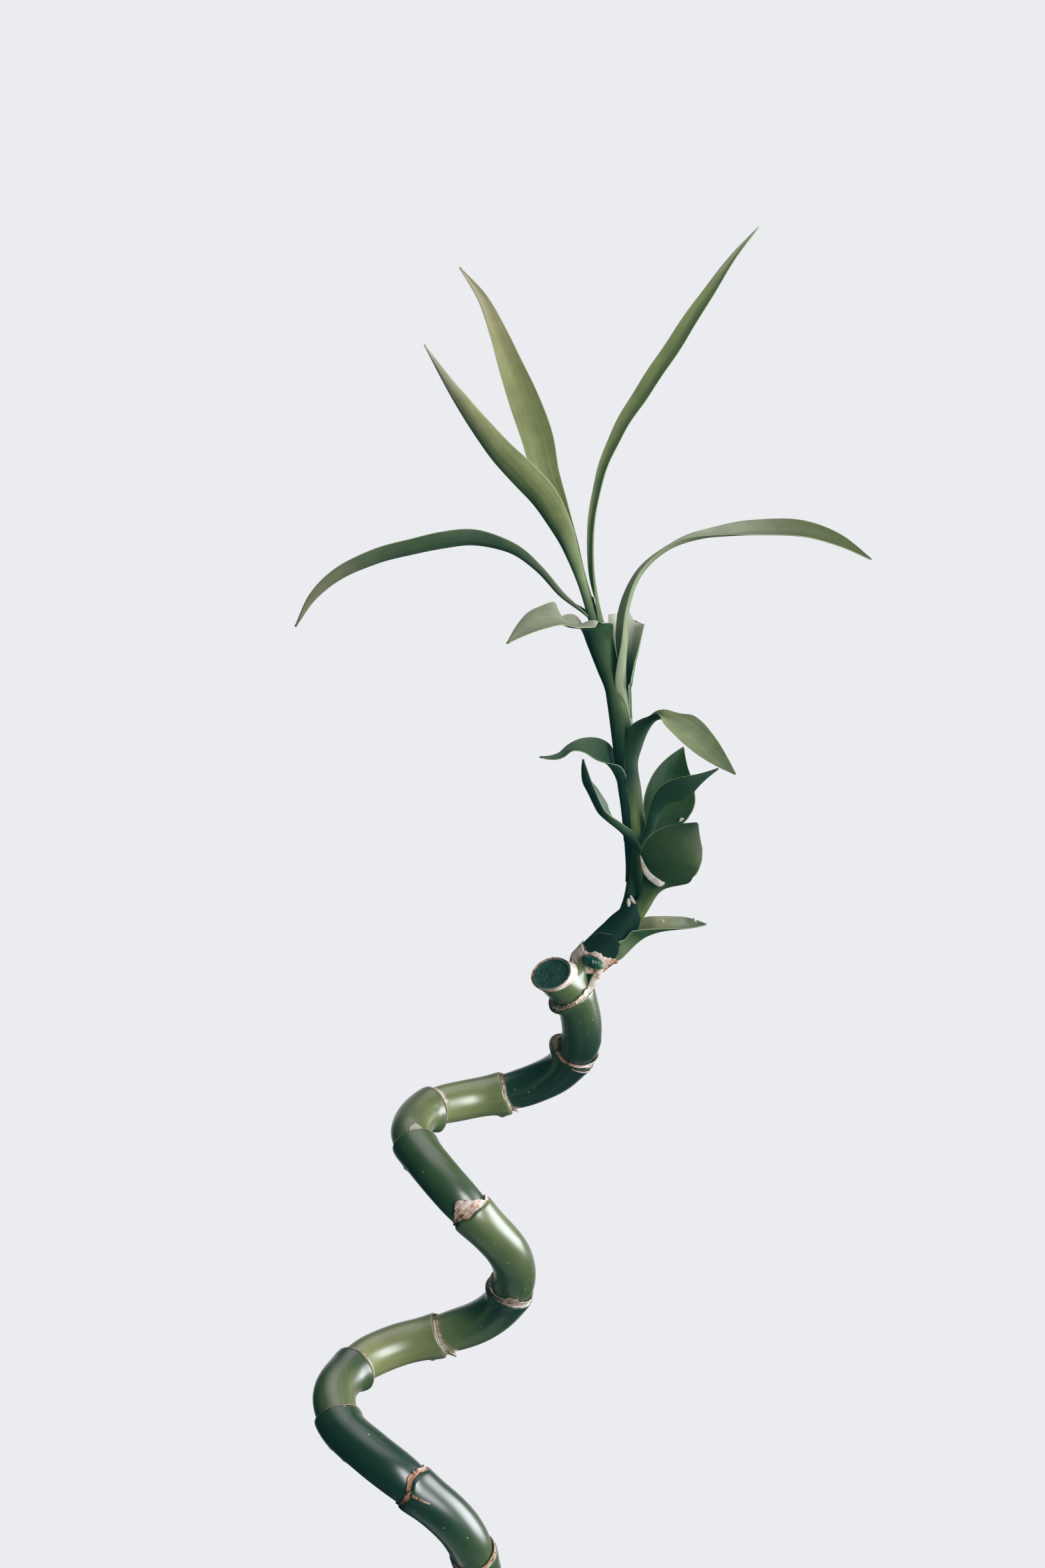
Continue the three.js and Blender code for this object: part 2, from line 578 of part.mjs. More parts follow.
// The bed of pebbles: its top is rings of stones, and below them it fills the vase, with a hole for the cane.
function pebbles() {
  const gap = VASE_WALL + CLEAR * 1.1;
  const top = vaseRadius(PEBBLE_TOP);
  const floor = vaseRadius(VASE_FLOOR) - gap;
  const ceiling = PEBBLE_TOP + 1.5 * PEBBLE_RADIUS;
  const cavity = turned([
    [0, VASE_FLOOR + CLEAR], [floor - VASE_CORNER, VASE_FLOOR + CLEAR],
    [floor, VASE_FLOOR + VASE_CORNER + CLEAR],
    [vaseRadius(ceiling) - gap, ceiling], [0, ceiling],
  ]);
  const filling = turned([[0, VASE_FLOOR], [top, VASE_FLOOR], [top, PEBBLE_TOP - 3], [0, PEBBLE_TOP - 3]]);
  const stones = [];
  for (let ring = 1; ring <= PEBBLE_RINGS; ring++) {
    const r = Math.min(top - gap - OUTER_RING_INSET, ring * RING_PITCH);
    const count = Math.round((2 * Math.PI * r) / PEBBLE_PITCH);
    for (let k = 0; k < count; k++) {
      const a = turnOf(k + 0.35 * random(), count) + ring;
      stones.push(pebble(r * Math.cos(a), r * Math.sin(a)));
    }
  }
  const bed = Manifold.union([filling, ...stones]).intersect(cavity);
  return biggest(bed.subtract(cane(CLEAR, false)));
}

// A solid of a geometry whose triangles share no corners yet.
function fromGeometry(geometry) {
  const p = geometry.getAttribute("position");
  const seen = new Map();
  const positions = [];
  const faces = [];
  for (let i = 0; i < p.count; i++) {
    const corner = [p.getX(i), p.getY(i), p.getZ(i)];
    const key = corner.map((v) => v.toFixed(3)).join();
    if (!seen.has(key)) {
      seen.set(key, positions.length / 3);
      positions.push(...corner);
    }
    faces.push(seen.get(key));
  }
  return solid(positions, faces);
}

// How far the collar's lower, middle and upper row are torn at an angle.
function tear(row, a) {
  return [0.4 * Math.sin(3 * a), 0, 0.9 * Math.sin(2 * a + 1) + 0.5 * Math.sin(5 * a)][row];
}

// The papery collar where the shoot leaves the cane: a short torn cuff.
function collar(grow = 0) {
  const rows = [0, 0.5, 1].map((u) => along(shootLine, COLLAR_START + COLLAR_LENGTH * u));
  const t = ways(rows);
  const n = carried(t);
  const positions = [];
  rows.forEach((row, i) => {
    const other = t[i].clone().cross(n[i]);
    const inside = row[3] + COLLAR_GAP + COLLAR_FLARE * i;
    for (const r of [inside - grow, inside + COLLAR_WALL + grow]) {
      for (let k = 0; k < COLLAR_SIDES; k++) {
        const a = turnOf(k, COLLAR_SIDES);
        const centre = vec(row).addScaledVector(t[i], tear(i, a) + grow * (i - 1));
        positions.push(...pointRound(centre.toArray(), n[i], other, r, a));
      }
    }
  });
  // rings run: lower inside, lower outside, middle inside, and so on
  const faces = [];
  for (const [low, high] of [[1, 3], [3, 5], [5, 4], [4, 2], [2, 0], [0, 1]]) {
    joinRings(faces, low, high, COLLAR_SIDES);
  }
  return solid(positions, faces);
}

// The small oval bud in front of the shoot's foot.
function bud(grow = 0) {
  const ball = new THREE.IcosahedronGeometry(1, 2);
  ball.scale(...BUD_SIZE.map((size) => size + grow));
  ball.rotateY(BUD_LEAN).rotateZ(BUD_TURN).translate(...BUD_CENTRE);
  return fromGeometry(ball);
}

function biggest(made) {
  return made.decompose().sort((a, b) => b.volume() - a.volume())[0];
}

function touching(a, b) {
  const p = a.boundingBox();
  const q = b.boundingBox();
  return [0, 1, 2].every((k) => p.min[k] < q.max[k] && q.min[k] < p.max[k]);
}

const placed = []; // what is already there, each grown by its clearance
const plant = new THREE.Group();
plant.name = "lucky_bamboo";

const FINISH = {
  vase: { color: 0xf1efea, roughness: 0.12, metalness: 0 },
  pebble_bed: { color: 0xa79f92, roughness: 0.75, metalness: 0 },
  cane: { color: 0x55703f, roughness: 0.35, metalness: 0 },
  husk: { color: 0xb3987c, roughness: 0.85, metalness: 0 },
  shoot: { color: 0x46663a, roughness: 0.4, metalness: 0 },
  leaf: { color: 0x4c6a3c, roughness: 0.45, metalness: 0 },
  collar: { color: 0xc4a58e, roughness: 0.9, metalness: 0 },
};

function add(name, made, finish) {
  const { numProp, numVert, vertProperties, triVerts } = made.getMesh();
  const corners = new Float32Array(numVert * 3);
  for (let i = 0; i < numVert; i++) corners.set(vertProperties.subarray(i * numProp, i * numProp + 3), i * 3);
  const geometry = new THREE.BufferGeometry();
  geometry.setAttribute("position", new THREE.BufferAttribute(corners, 3));
  geometry.setIndex(new THREE.BufferAttribute(triVerts, 1));
  const mesh = new THREE.Mesh(geometry, new THREE.MeshStandardMaterial(FINISH[finish]));
  mesh.name = name;
  plant.add(mesh);
}

// Sets a piece in its place, cut back where an earlier one is in its way, and keeps its clearance for the
// later ones.
function place(name, finish, make) {
  let made = make(0);
  for (const other of placed) {
    if (touching(made, other)) made = made.subtract(other);
  }
  placed.push(make(CLEAR));
  add(name, biggest(made), finish);
}

add("vase", vase(), "vase");
add("pebble_bed", pebbles(), "pebble_bed");
add("cane", cane(), "cane");
placed.push(cane(CLEAR, false));
NODES.forEach((node, i) => {
  // the two nodes among the pebbles have no ring of their own
  if (i > 1) add(`node_ring_${String(i + 1).padStart(2, "0")}`, husk(node), "husk");
});
place("shoot_stem", "shoot", shoot);
for (const leaf of LEAVES) place(leaf.name, "leaf", (grow) => blade(leaf, grow));
place("shoot_collar", "collar", collar);
place("bud", "shoot", bud);

export default plant;
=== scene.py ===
"""Dresses the spiral bamboo in its vase: finer cane, husks, shoot, leaves, vase and pebbles, with their
finishes, and the stage, the light and the camera."""

from bisect import bisect_right
from math import atan2, cos, degrees, exp, pi, radians, sin, sqrt

import bmesh
import bpy
from mathutils import Matrix, Quaternion, Vector, noise


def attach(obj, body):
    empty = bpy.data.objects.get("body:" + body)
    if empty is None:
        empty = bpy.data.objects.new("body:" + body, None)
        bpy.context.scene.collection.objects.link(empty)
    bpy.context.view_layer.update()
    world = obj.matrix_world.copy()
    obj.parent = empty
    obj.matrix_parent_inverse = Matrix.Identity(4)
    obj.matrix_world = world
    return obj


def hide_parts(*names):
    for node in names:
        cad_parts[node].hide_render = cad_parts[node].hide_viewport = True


MM = 0.001  # shapes are worked out in millimetres and scaled to metres when they are done

# Driving sizes, in millimetres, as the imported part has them
CANE_RADIUS = 6.15
CANE_END_RADIUS = 5.6
TAPER_START = 150
VASE_HEIGHT = 110
VASE_RIM_RADIUS = 45
VASE_FOOT_RADIUS = 38
VASE_WALL = 4.5
VASE_FLOOR = 7
PEBBLE_TOP = 90
PEBBLE_RADIUS = 9.2

# The cane's centre line, from the cut foot among the pebbles to the cut top
CANE_LINE = [
    (0, 0, 20), (0, 0, 70), (0, 0, 120), (0, 0, 154), (-5.4, -14.1, 179), (-19.5, -20, 194.4),
    (-30.7, -17.1, 202.4), (-39.6, -7.8, 207.4), (-42.1, 1.7, 214.2), (-36.1, 13.4, 218.8),
    (-25.9, 18.8, 222.5), (-13.4, 19.8, 225.4), (-2.7, 16.4, 229.7), (4.2, 10.6, 235.7), (7.7, 3.5, 242.6),
    (8.1, -3.5, 250.2), (5.2, -12.3, 258), (-3.2, -19.7, 268.4), (-12.5, -17.3, 278.3),
    (-19.6, -7.5, 285.4), (-20.4, 1.7, 288.7), (-17.6, 10, 291.4), (-13.2, 14.9, 292.4), (-4.3, 19, 293.7),
    (5.9, 19.9, 295.5), (14, 17.7, 298.3), (21.2, 12.9, 302.6), (26.1, 5.8, 309.4), (27.1, -0.7, 315.4),
    (26, -7.5, 322.6), (23.5, -12.5, 328.3), (18.3, -19.3, 333.1),
]
# Where the nodes sit, in millimetres of centre line from the foot
NODES = [42, 70, 98.5, 127, 156, 185.6, 217.6, 240.1, 265.1, 298.2, 336.7, 365.2, 390.2, 411.2, 440.2, 467.7]
# How pale the rind is just above each node and just below the next, from 0, dark green, to 1, pale olive.
# # Each holds the internode's own shade together with painted shade and light.
RIND_SHADES_AND_PAINTED_LIGHT = [
    (0.3, 0.3), (0.35, 0.25), (0.5, 0.3), (0.55, 0.35), (0.45, 0.3), (0.34, 0.1), (0.08, 0.22), (0.56, 0.28),
    (1, 0.83), (0.8, 0.08), (0.34, 0.56), (0.28, 0.38), (0.7, 0.52), (0.85, 0.72), (0.14, 0.0), (0.02, 0.45),
    (0.5, 0.4),
]
# The dry husk left on each node that has one: the angle from the front, where its lower and its upper edge
# # lie along the cane from the node, how far the upper edge stands off, and its colour from 0, rusty brown,
# # to 1, bleached, raised in places with painted light where the husk lies in shade
HUSKS = {
    3: [
        (-120, -0.6, 0.5, 0.3, 0.5), (-30, -0.3, 1.2, 0.3, 0.6), (60, -0.5, 0.7, 0.5, 0.4),
        (150, -0.8, 0.4, 0.2, 0.3),
    ],
    4: [
        (-150, -0.5, 0.8, 0.3, 0.4), (-60, -0.9, 0.3, 0.2, 0.5), (20, -0.2, 1.6, 0.6, 0.7),
        (110, -0.4, 0.6, 0.3, 0.4),
    ],
    5: [
        (-100, -0.4, 1, 0.5, 0.4), (0, -0.7, 0.4, 0.2, 0.5), (80, -0.2, 1.3, 0.4, 0.6),
        (170, -0.6, 0.5, 0.2, 0.3),
    ],
    6: [
        (-90, -0.9, 0.3, 0.15, 0.25), (-50, -0.8, 0.2, 0.1, 0.2), (-25, -0.4, 0.7, 0.15, 0.25),
        (-5, -0.2, 1.4, 0.2, 0.35), (10, 1, 2.2, 0.2, 0.35), (25, 1.8, 3, 0.2, 0.35),
        (45, 1.6, 2.8, 0.2, 0.45), (60, 1, 2.3, 0.2, 0.5), (75, 0.3, 1.6, 0.2, 0.6),
        (90, -0.2, 1, 0.2, 0.6), (170, -0.6, 0.6, 0.2, 0.4),
    ],
    7: [
        (-90, -0.2, 0.3, 0.1, 0.4), (-60, -0.3, 0.2, 0.1, 0.5), (-45, -0.9, -0.5, 0.1, 0.5),
        (0, -1.4, -0.9, 0.1, 0.6), (30, -2.2, -1.8, 0.1, 0.6), (60, -2.3, -2, 0.1, 0.5),
        (90, -2.3, -1.9, 0.1, 0.4), (170, -0.8, -0.2, 0.1, 0.4),
    ],
    8: [
        (-90, -2.7, -2.3, 0.15, 0.6), (-60, -2.1, -1.6, 0.2, 0.7), (-30, -1.8, -1.2, 0.25, 0.75),
        (0, -1.6, -0.9, 0.25, 0.8), (30, -1.3, -0.7, 0.25, 0.8), (60, -1.5, -1.1, 0.2, 0.7),
        (90, -1.7, -1.4, 0.15, 0.5), (170, -2.2, -1.6, 0.2, 0.5),
    ],
    9: [
        (-95, -0.1, 0.5, 0.1, 0.25), (-62, 0.1, 0.9, 0.15, 0.3), (-52, 0.1, 1.9, 0.2, 0.7),
        (-30, 0, 1.7, 0.25, 0.75), (0, 0.3, 1.9, 0.3, 0.85), (30, 0.8, 2.8, 0.4, 0.9),
        (60, 0.4, 3.2, 0.7, 0.85), (85, 0, 3.5, 1.7, 0.85), (110, -0.2, 1.8, 0.6, 0.6),
        (170, -0.4, 0.8, 0.2, 0.4),
    ],
    10: [
        (-130, -1.2, 1.2, 1.3, 0.55), (-90, -1, 1.3, 1.2, 0.6), (-60, -0.8, 1.7, 0.9, 0.6),
        (-40, -0.4, 2.2, 0.6, 0.65), (-25, -0.1, 3.2, 0.4, 0.6), (-8, 0.1, 4.8, 0.3, 0.65),
        (8, 0.1, 4.3, 0.3, 0.8), (20, 0, 2.9, 0.3, 0.85), (35, -0.3, 2.3, 0.3, 0.8),
        (60, -1, 1.2, 0.3, 0.75), (80, -1.5, 0.4, 0.3, 0.7), (120, -1.6, -0.2, 0.2, 0.5),
        (170, -1.3, 0.4, 0.6, 0.5),
    ],
    11: [
        (-100, -0.2, 0.4, 0.3, 0.6), (-80, 0, 1.2, 0.25, 0.6), (-60, 0.9, 2, 0.2, 0.55),
        (-35, 1.7, 3.3, 0.2, 0.55), (-20, 1.5, 4.4, 0.25, 0.6), (-8, 0.9, 5.2, 0.3, 0.65),
        (3, 1, 5.3, 0.3, 0.8), (15, 1.2, 4.3, 0.3, 0.75), (30, 0.9, 3.2, 0.3, 0.75),
        (50, 0.5, 2, 0.3, 0.85), (62, 0.4, 0.9, 0.3, 0.9), (72, 0.3, 1.7, 0.9, 0.95),
        (90, 0.1, 1.2, 0.6, 0.9), (130, -0.3, 0.5, 0.2, 0.5), (175, -0.4, 0.4, 0.2, 0.4),
    ],
    12: [
        (-90, -0.1, 0.4, 0.1, 0.5), (-60, -0.2, 0.3, 0.1, 0.5), (-40, -0.9, -0.1, 0.15, 0.6),
        (0, -2.3, -1.4, 0.15, 0.65), (18, -2.6, -1.8, 0.15, 0.7), (24, -2.7, 0, 0.25, 0.95),
        (38, -2.7, 0.5, 0.3, 1), (48, -2.6, -0.5, 0.25, 0.95), (60, -2.4, -2, 0.15, 0.8),
        (90, -2.2, -1.8, 0.1, 0.6), (170, -1, -0.4, 0.1, 0.5),
    ],
    13: [
        (-100, -2.2, -1.7, 0.1, 0.6), (-75, -2.3, -1.6, 0.15, 0.8), (-60, -2.3, -0.9, 0.2, 0.9),
        (-30, -2.1, -0.2, 0.25, 1), (-15, -1.8, 0, 0.3, 1), (-8, -1.6, -0.9, 0.2, 0.95),
        (0, -1.6, -1.1, 0.15, 0.85), (30, -1.3, -0.8, 0.15, 0.8), (60, -1.1, -0.6, 0.2, 0.8),
        (90, -1, -0.5, 0.2, 0.6), (170, -1.6, -1, 0.15, 0.5),
    ],
    14: [
        (-95, -0.6, -0.1, 0.1, 0.3), (-60, -0.4, 0.5, 0.15, 0.35), (-30, -0.1, 0.8, 0.2, 0.8),
        (0, -0.2, 0.7, 0.2, 0.85), (30, 0.2, 1, 0.2, 0.8), (60, 0.2, 1.5, 0.3, 0.75),
        (85, 0.1, 2.2, 1.3, 0.85), (105, 0, 1.2, 0.5, 0.6), (170, -0.5, 0.3, 0.15, 0.4),
    ],
    15: [
        (-130, -1, 1, 0.6, 0.4), (-95, -0.7, 0.9, 0.8, 0.35), (-75, -0.8, 0.3, 0.3, 0.3),
        (-60, -0.8, -0.3, 0.15, 0.25), (-30, -0.7, -0.2, 0.15, 0.3), (0, 0, 0.5, 0.15, 0.4),
        (30, 0.4, 1, 0.2, 0.75), (50, 0.2, 1.4, 0.25, 0.9), (70, -1.5, 1.8, 0.4, 0.95),
        (90, -2, 1.5, 0.4, 0.9), (140, -1, 0.5, 0.2, 0.5), (175, -0.8, 0.6, 0.4, 0.4),
    ],
    16: [
        (-120, -1.6, -0.4, 0.3, 0.45), (-90, -1.5, -0.4, 0.3, 0.5), (-60, -1.3, -0.1, 0.3, 0.5),
        (-45, -0.7, 0.9, 0.3, 0.5), (-30, 0, 1.4, 0.3, 0.65), (0, -0.2, 1.4, 0.25, 0.7),
        (30, -0.7, 1, 0.25, 0.8), (60, -2, -0.3, 0.3, 0.9), (90, -3, -0.8, 0.3, 0.9),
        (130, -2.5, -0.6, 0.3, 0.6), (175, -1.8, -0.6, 0.3, 0.4),
    ],
}
# Smaller dry pieces on the cane: a branch of the lowest husk in sight, a second torn edge, and the rim
# under the cut
HUSK_BRANCH = [
    (-3, -0.6, 0.4, 0.1, 0.3), (2, -2.4, 0.3, 0.1, 0.4), (5, -3.9, -1.2, 0.1, 0.5), (8, -4.8, -2.9, 0.1, 0.6),
    (11, -4.9, -4.4, 0.1, 0.6),
]
SECOND_EDGE = [
    (7, -0.8, -0.7, 0.1, 0.4), (30, -1.5, -0.9, 0.2, 0.6), (50, -1.9, -1.2, 0.25, 0.75),
    (75, -1.9, -1, 0.2, 0.85), (100, -1.5, -1.4, 0.1, 0.6),
]
CUT_RIM = [
    (-120, -1.4, 0.25, 0.1, 0.35), (-90, -1.3, 0.25, 0.1, 0.4), (-45, -1.3, 0.25, 0.1, 0.6),
    (0, -1.6, 0.25, 0.1, 0.85), (30, -2.6, 0.25, 0.1, 0.95), (60, -3, 0.25, 0.1, 1),
    (90, -3, 0.25, 0.1, 0.9), (130, -2.4, 0.25, 0.1, 0.7), (175, -1.6, 0.25, 0.1, 0.5),
]
# The torn papery collar round the foot of the shoot, as the husks, but counted along the shoot's core
# the colours on its left side are raised with painted light where it lies in shade
COLLAR = [
    (-90, 4.8, 8.4, 0.2, 0.85), (-68, 3.6, 7.8, 0.2, 0.9), (-33, 1.8, 7, 0.2, 0.85),
    (-16, 1.6, 7.6, 0.2, 0.75), (-8, 2.5, 8.9, 0.2, 0.8), (8, 3, 9.2, 0.2, 0.8), (19, 3.8, 9.4, 0.2, 0.75),
    (31, 4.6, 10.1, 0.2, 0.7), (50, 5.4, 11.1, 0.2, 0.45), (65, 7.2, 11, 0.5, 0.35),
    (78, 8.6, 10.6, 1, 0.45), (95, 8, 9.6, 0.4, 0.7), (130, 6, 8, 0.2, 0.5), (175, 4, 7, 0.2, 0.5),
]
# How far off the core the collar lies, by the angle
COLLAR_OFFSET = [(-90, 1.6), (-45, 2.2), (0, 3), (45, 2.7), (90, 1.8), (179, 1.2)]
# The strip that runs from the collar down to the node beside it: x, y, z and half width
COLLAR_STRIP = [
    (32, -13.5, 334.5, 0.7), (30.9, -14, 332.2, 1.1), (28.8, -14.6, 328.6, 0.85), (27.1, -15.5, 326.6, 0.75),
    (24.8, -17, 324.9, 0.6),
]
# Dried scraps on the leaves: the round leaf's folded margin, a torn curl, the shrivelled tip of the long
# scale in two pieces, and two nicks in the low leaf's upper margin: x, y, z and half width
DRIED_SCRAPS = [
    [(42.5, -20, 365.3, 0.2), (43.3, -19.5, 362.4, 0.7), (44.7, -18.9, 360.3, 1.2), (46.5, -18.5, 358.7, 1.3),
     (47.8, -18.2, 357.6, 1), (49.1, -17.9, 357.7, 0.3)],
    [(54, -4, 373, 0.15), (54.7, -4.2, 374.7, 0.5), (55.9, -4, 374.6, 0.2)],
    [(40.1, -12.6, 354, 0.3), (40.6, -13.1, 352.8, 0.5), (41.4, -12.9, 351.8, 0.3)],
    [(39.5, -12.7, 353.2, 0.3), (39.6, -13.1, 352, 0.6), (39.5, -12.9, 350.9, 0.3)],
    [(48.4, -12.5, 347.4, 0.15), (48.9, -12.6, 347, 0.3), (49.4, -12.5, 346.8, 0.15)],
    [(57.4, -13.5, 348, 0.15), (57.6, -13.6, 347.3, 0.3), (58.2, -13.5, 346.8, 0.15)],
]

# The dormant bud: its middle, its half lengths, and how far it leans down to the right in degrees
BUD_CENTRE = (29.8, -15.2, 335.9)
BUD_SIZE = (3.4, 1.6, 1.75)
BUD_LEAN = 25

# The swelling at the shoot's very foot, half hidden in the collar
SWELLING_CENTRE = (28.8, -9.5, 331.8)
SWELLING_RADIUS = 2.4

# The way that the cut top faces, up and to the front more than the cane runs there
CUT_FACING = (-0.3, -0.72, 0.63)

# The shoot's core: x, y, z and radius, from the cane to the heart of the leaves
SHOOT_LINE = [
    (24.9, -7, 332.1, 2.9), (29, -8, 336, 3), (33.2, -8, 340.2, 2.9), (36.9, -8, 344.1, 2.8),
    (39.8, -8, 348.7, 2.8), (41.4, -8, 354, 2.7), (42, -8, 359.6, 2.6), (41.8, -8, 365.4, 2.4),
    (41.3, -8, 371.9, 2.2), (40.5, -8, 380.2, 2.1), (39.2, -8, 389.4, 2.1), (38, -8, 398.6, 2),
    (36.8, -7.5, 407.8, 1.8), (35, -7, 416.2, 1.5), (32.8, -6, 423.6, 1.3), (30.8, -5.5, 430.1, 1.1),
    (29.4, -5, 436.4, 0.8),
]

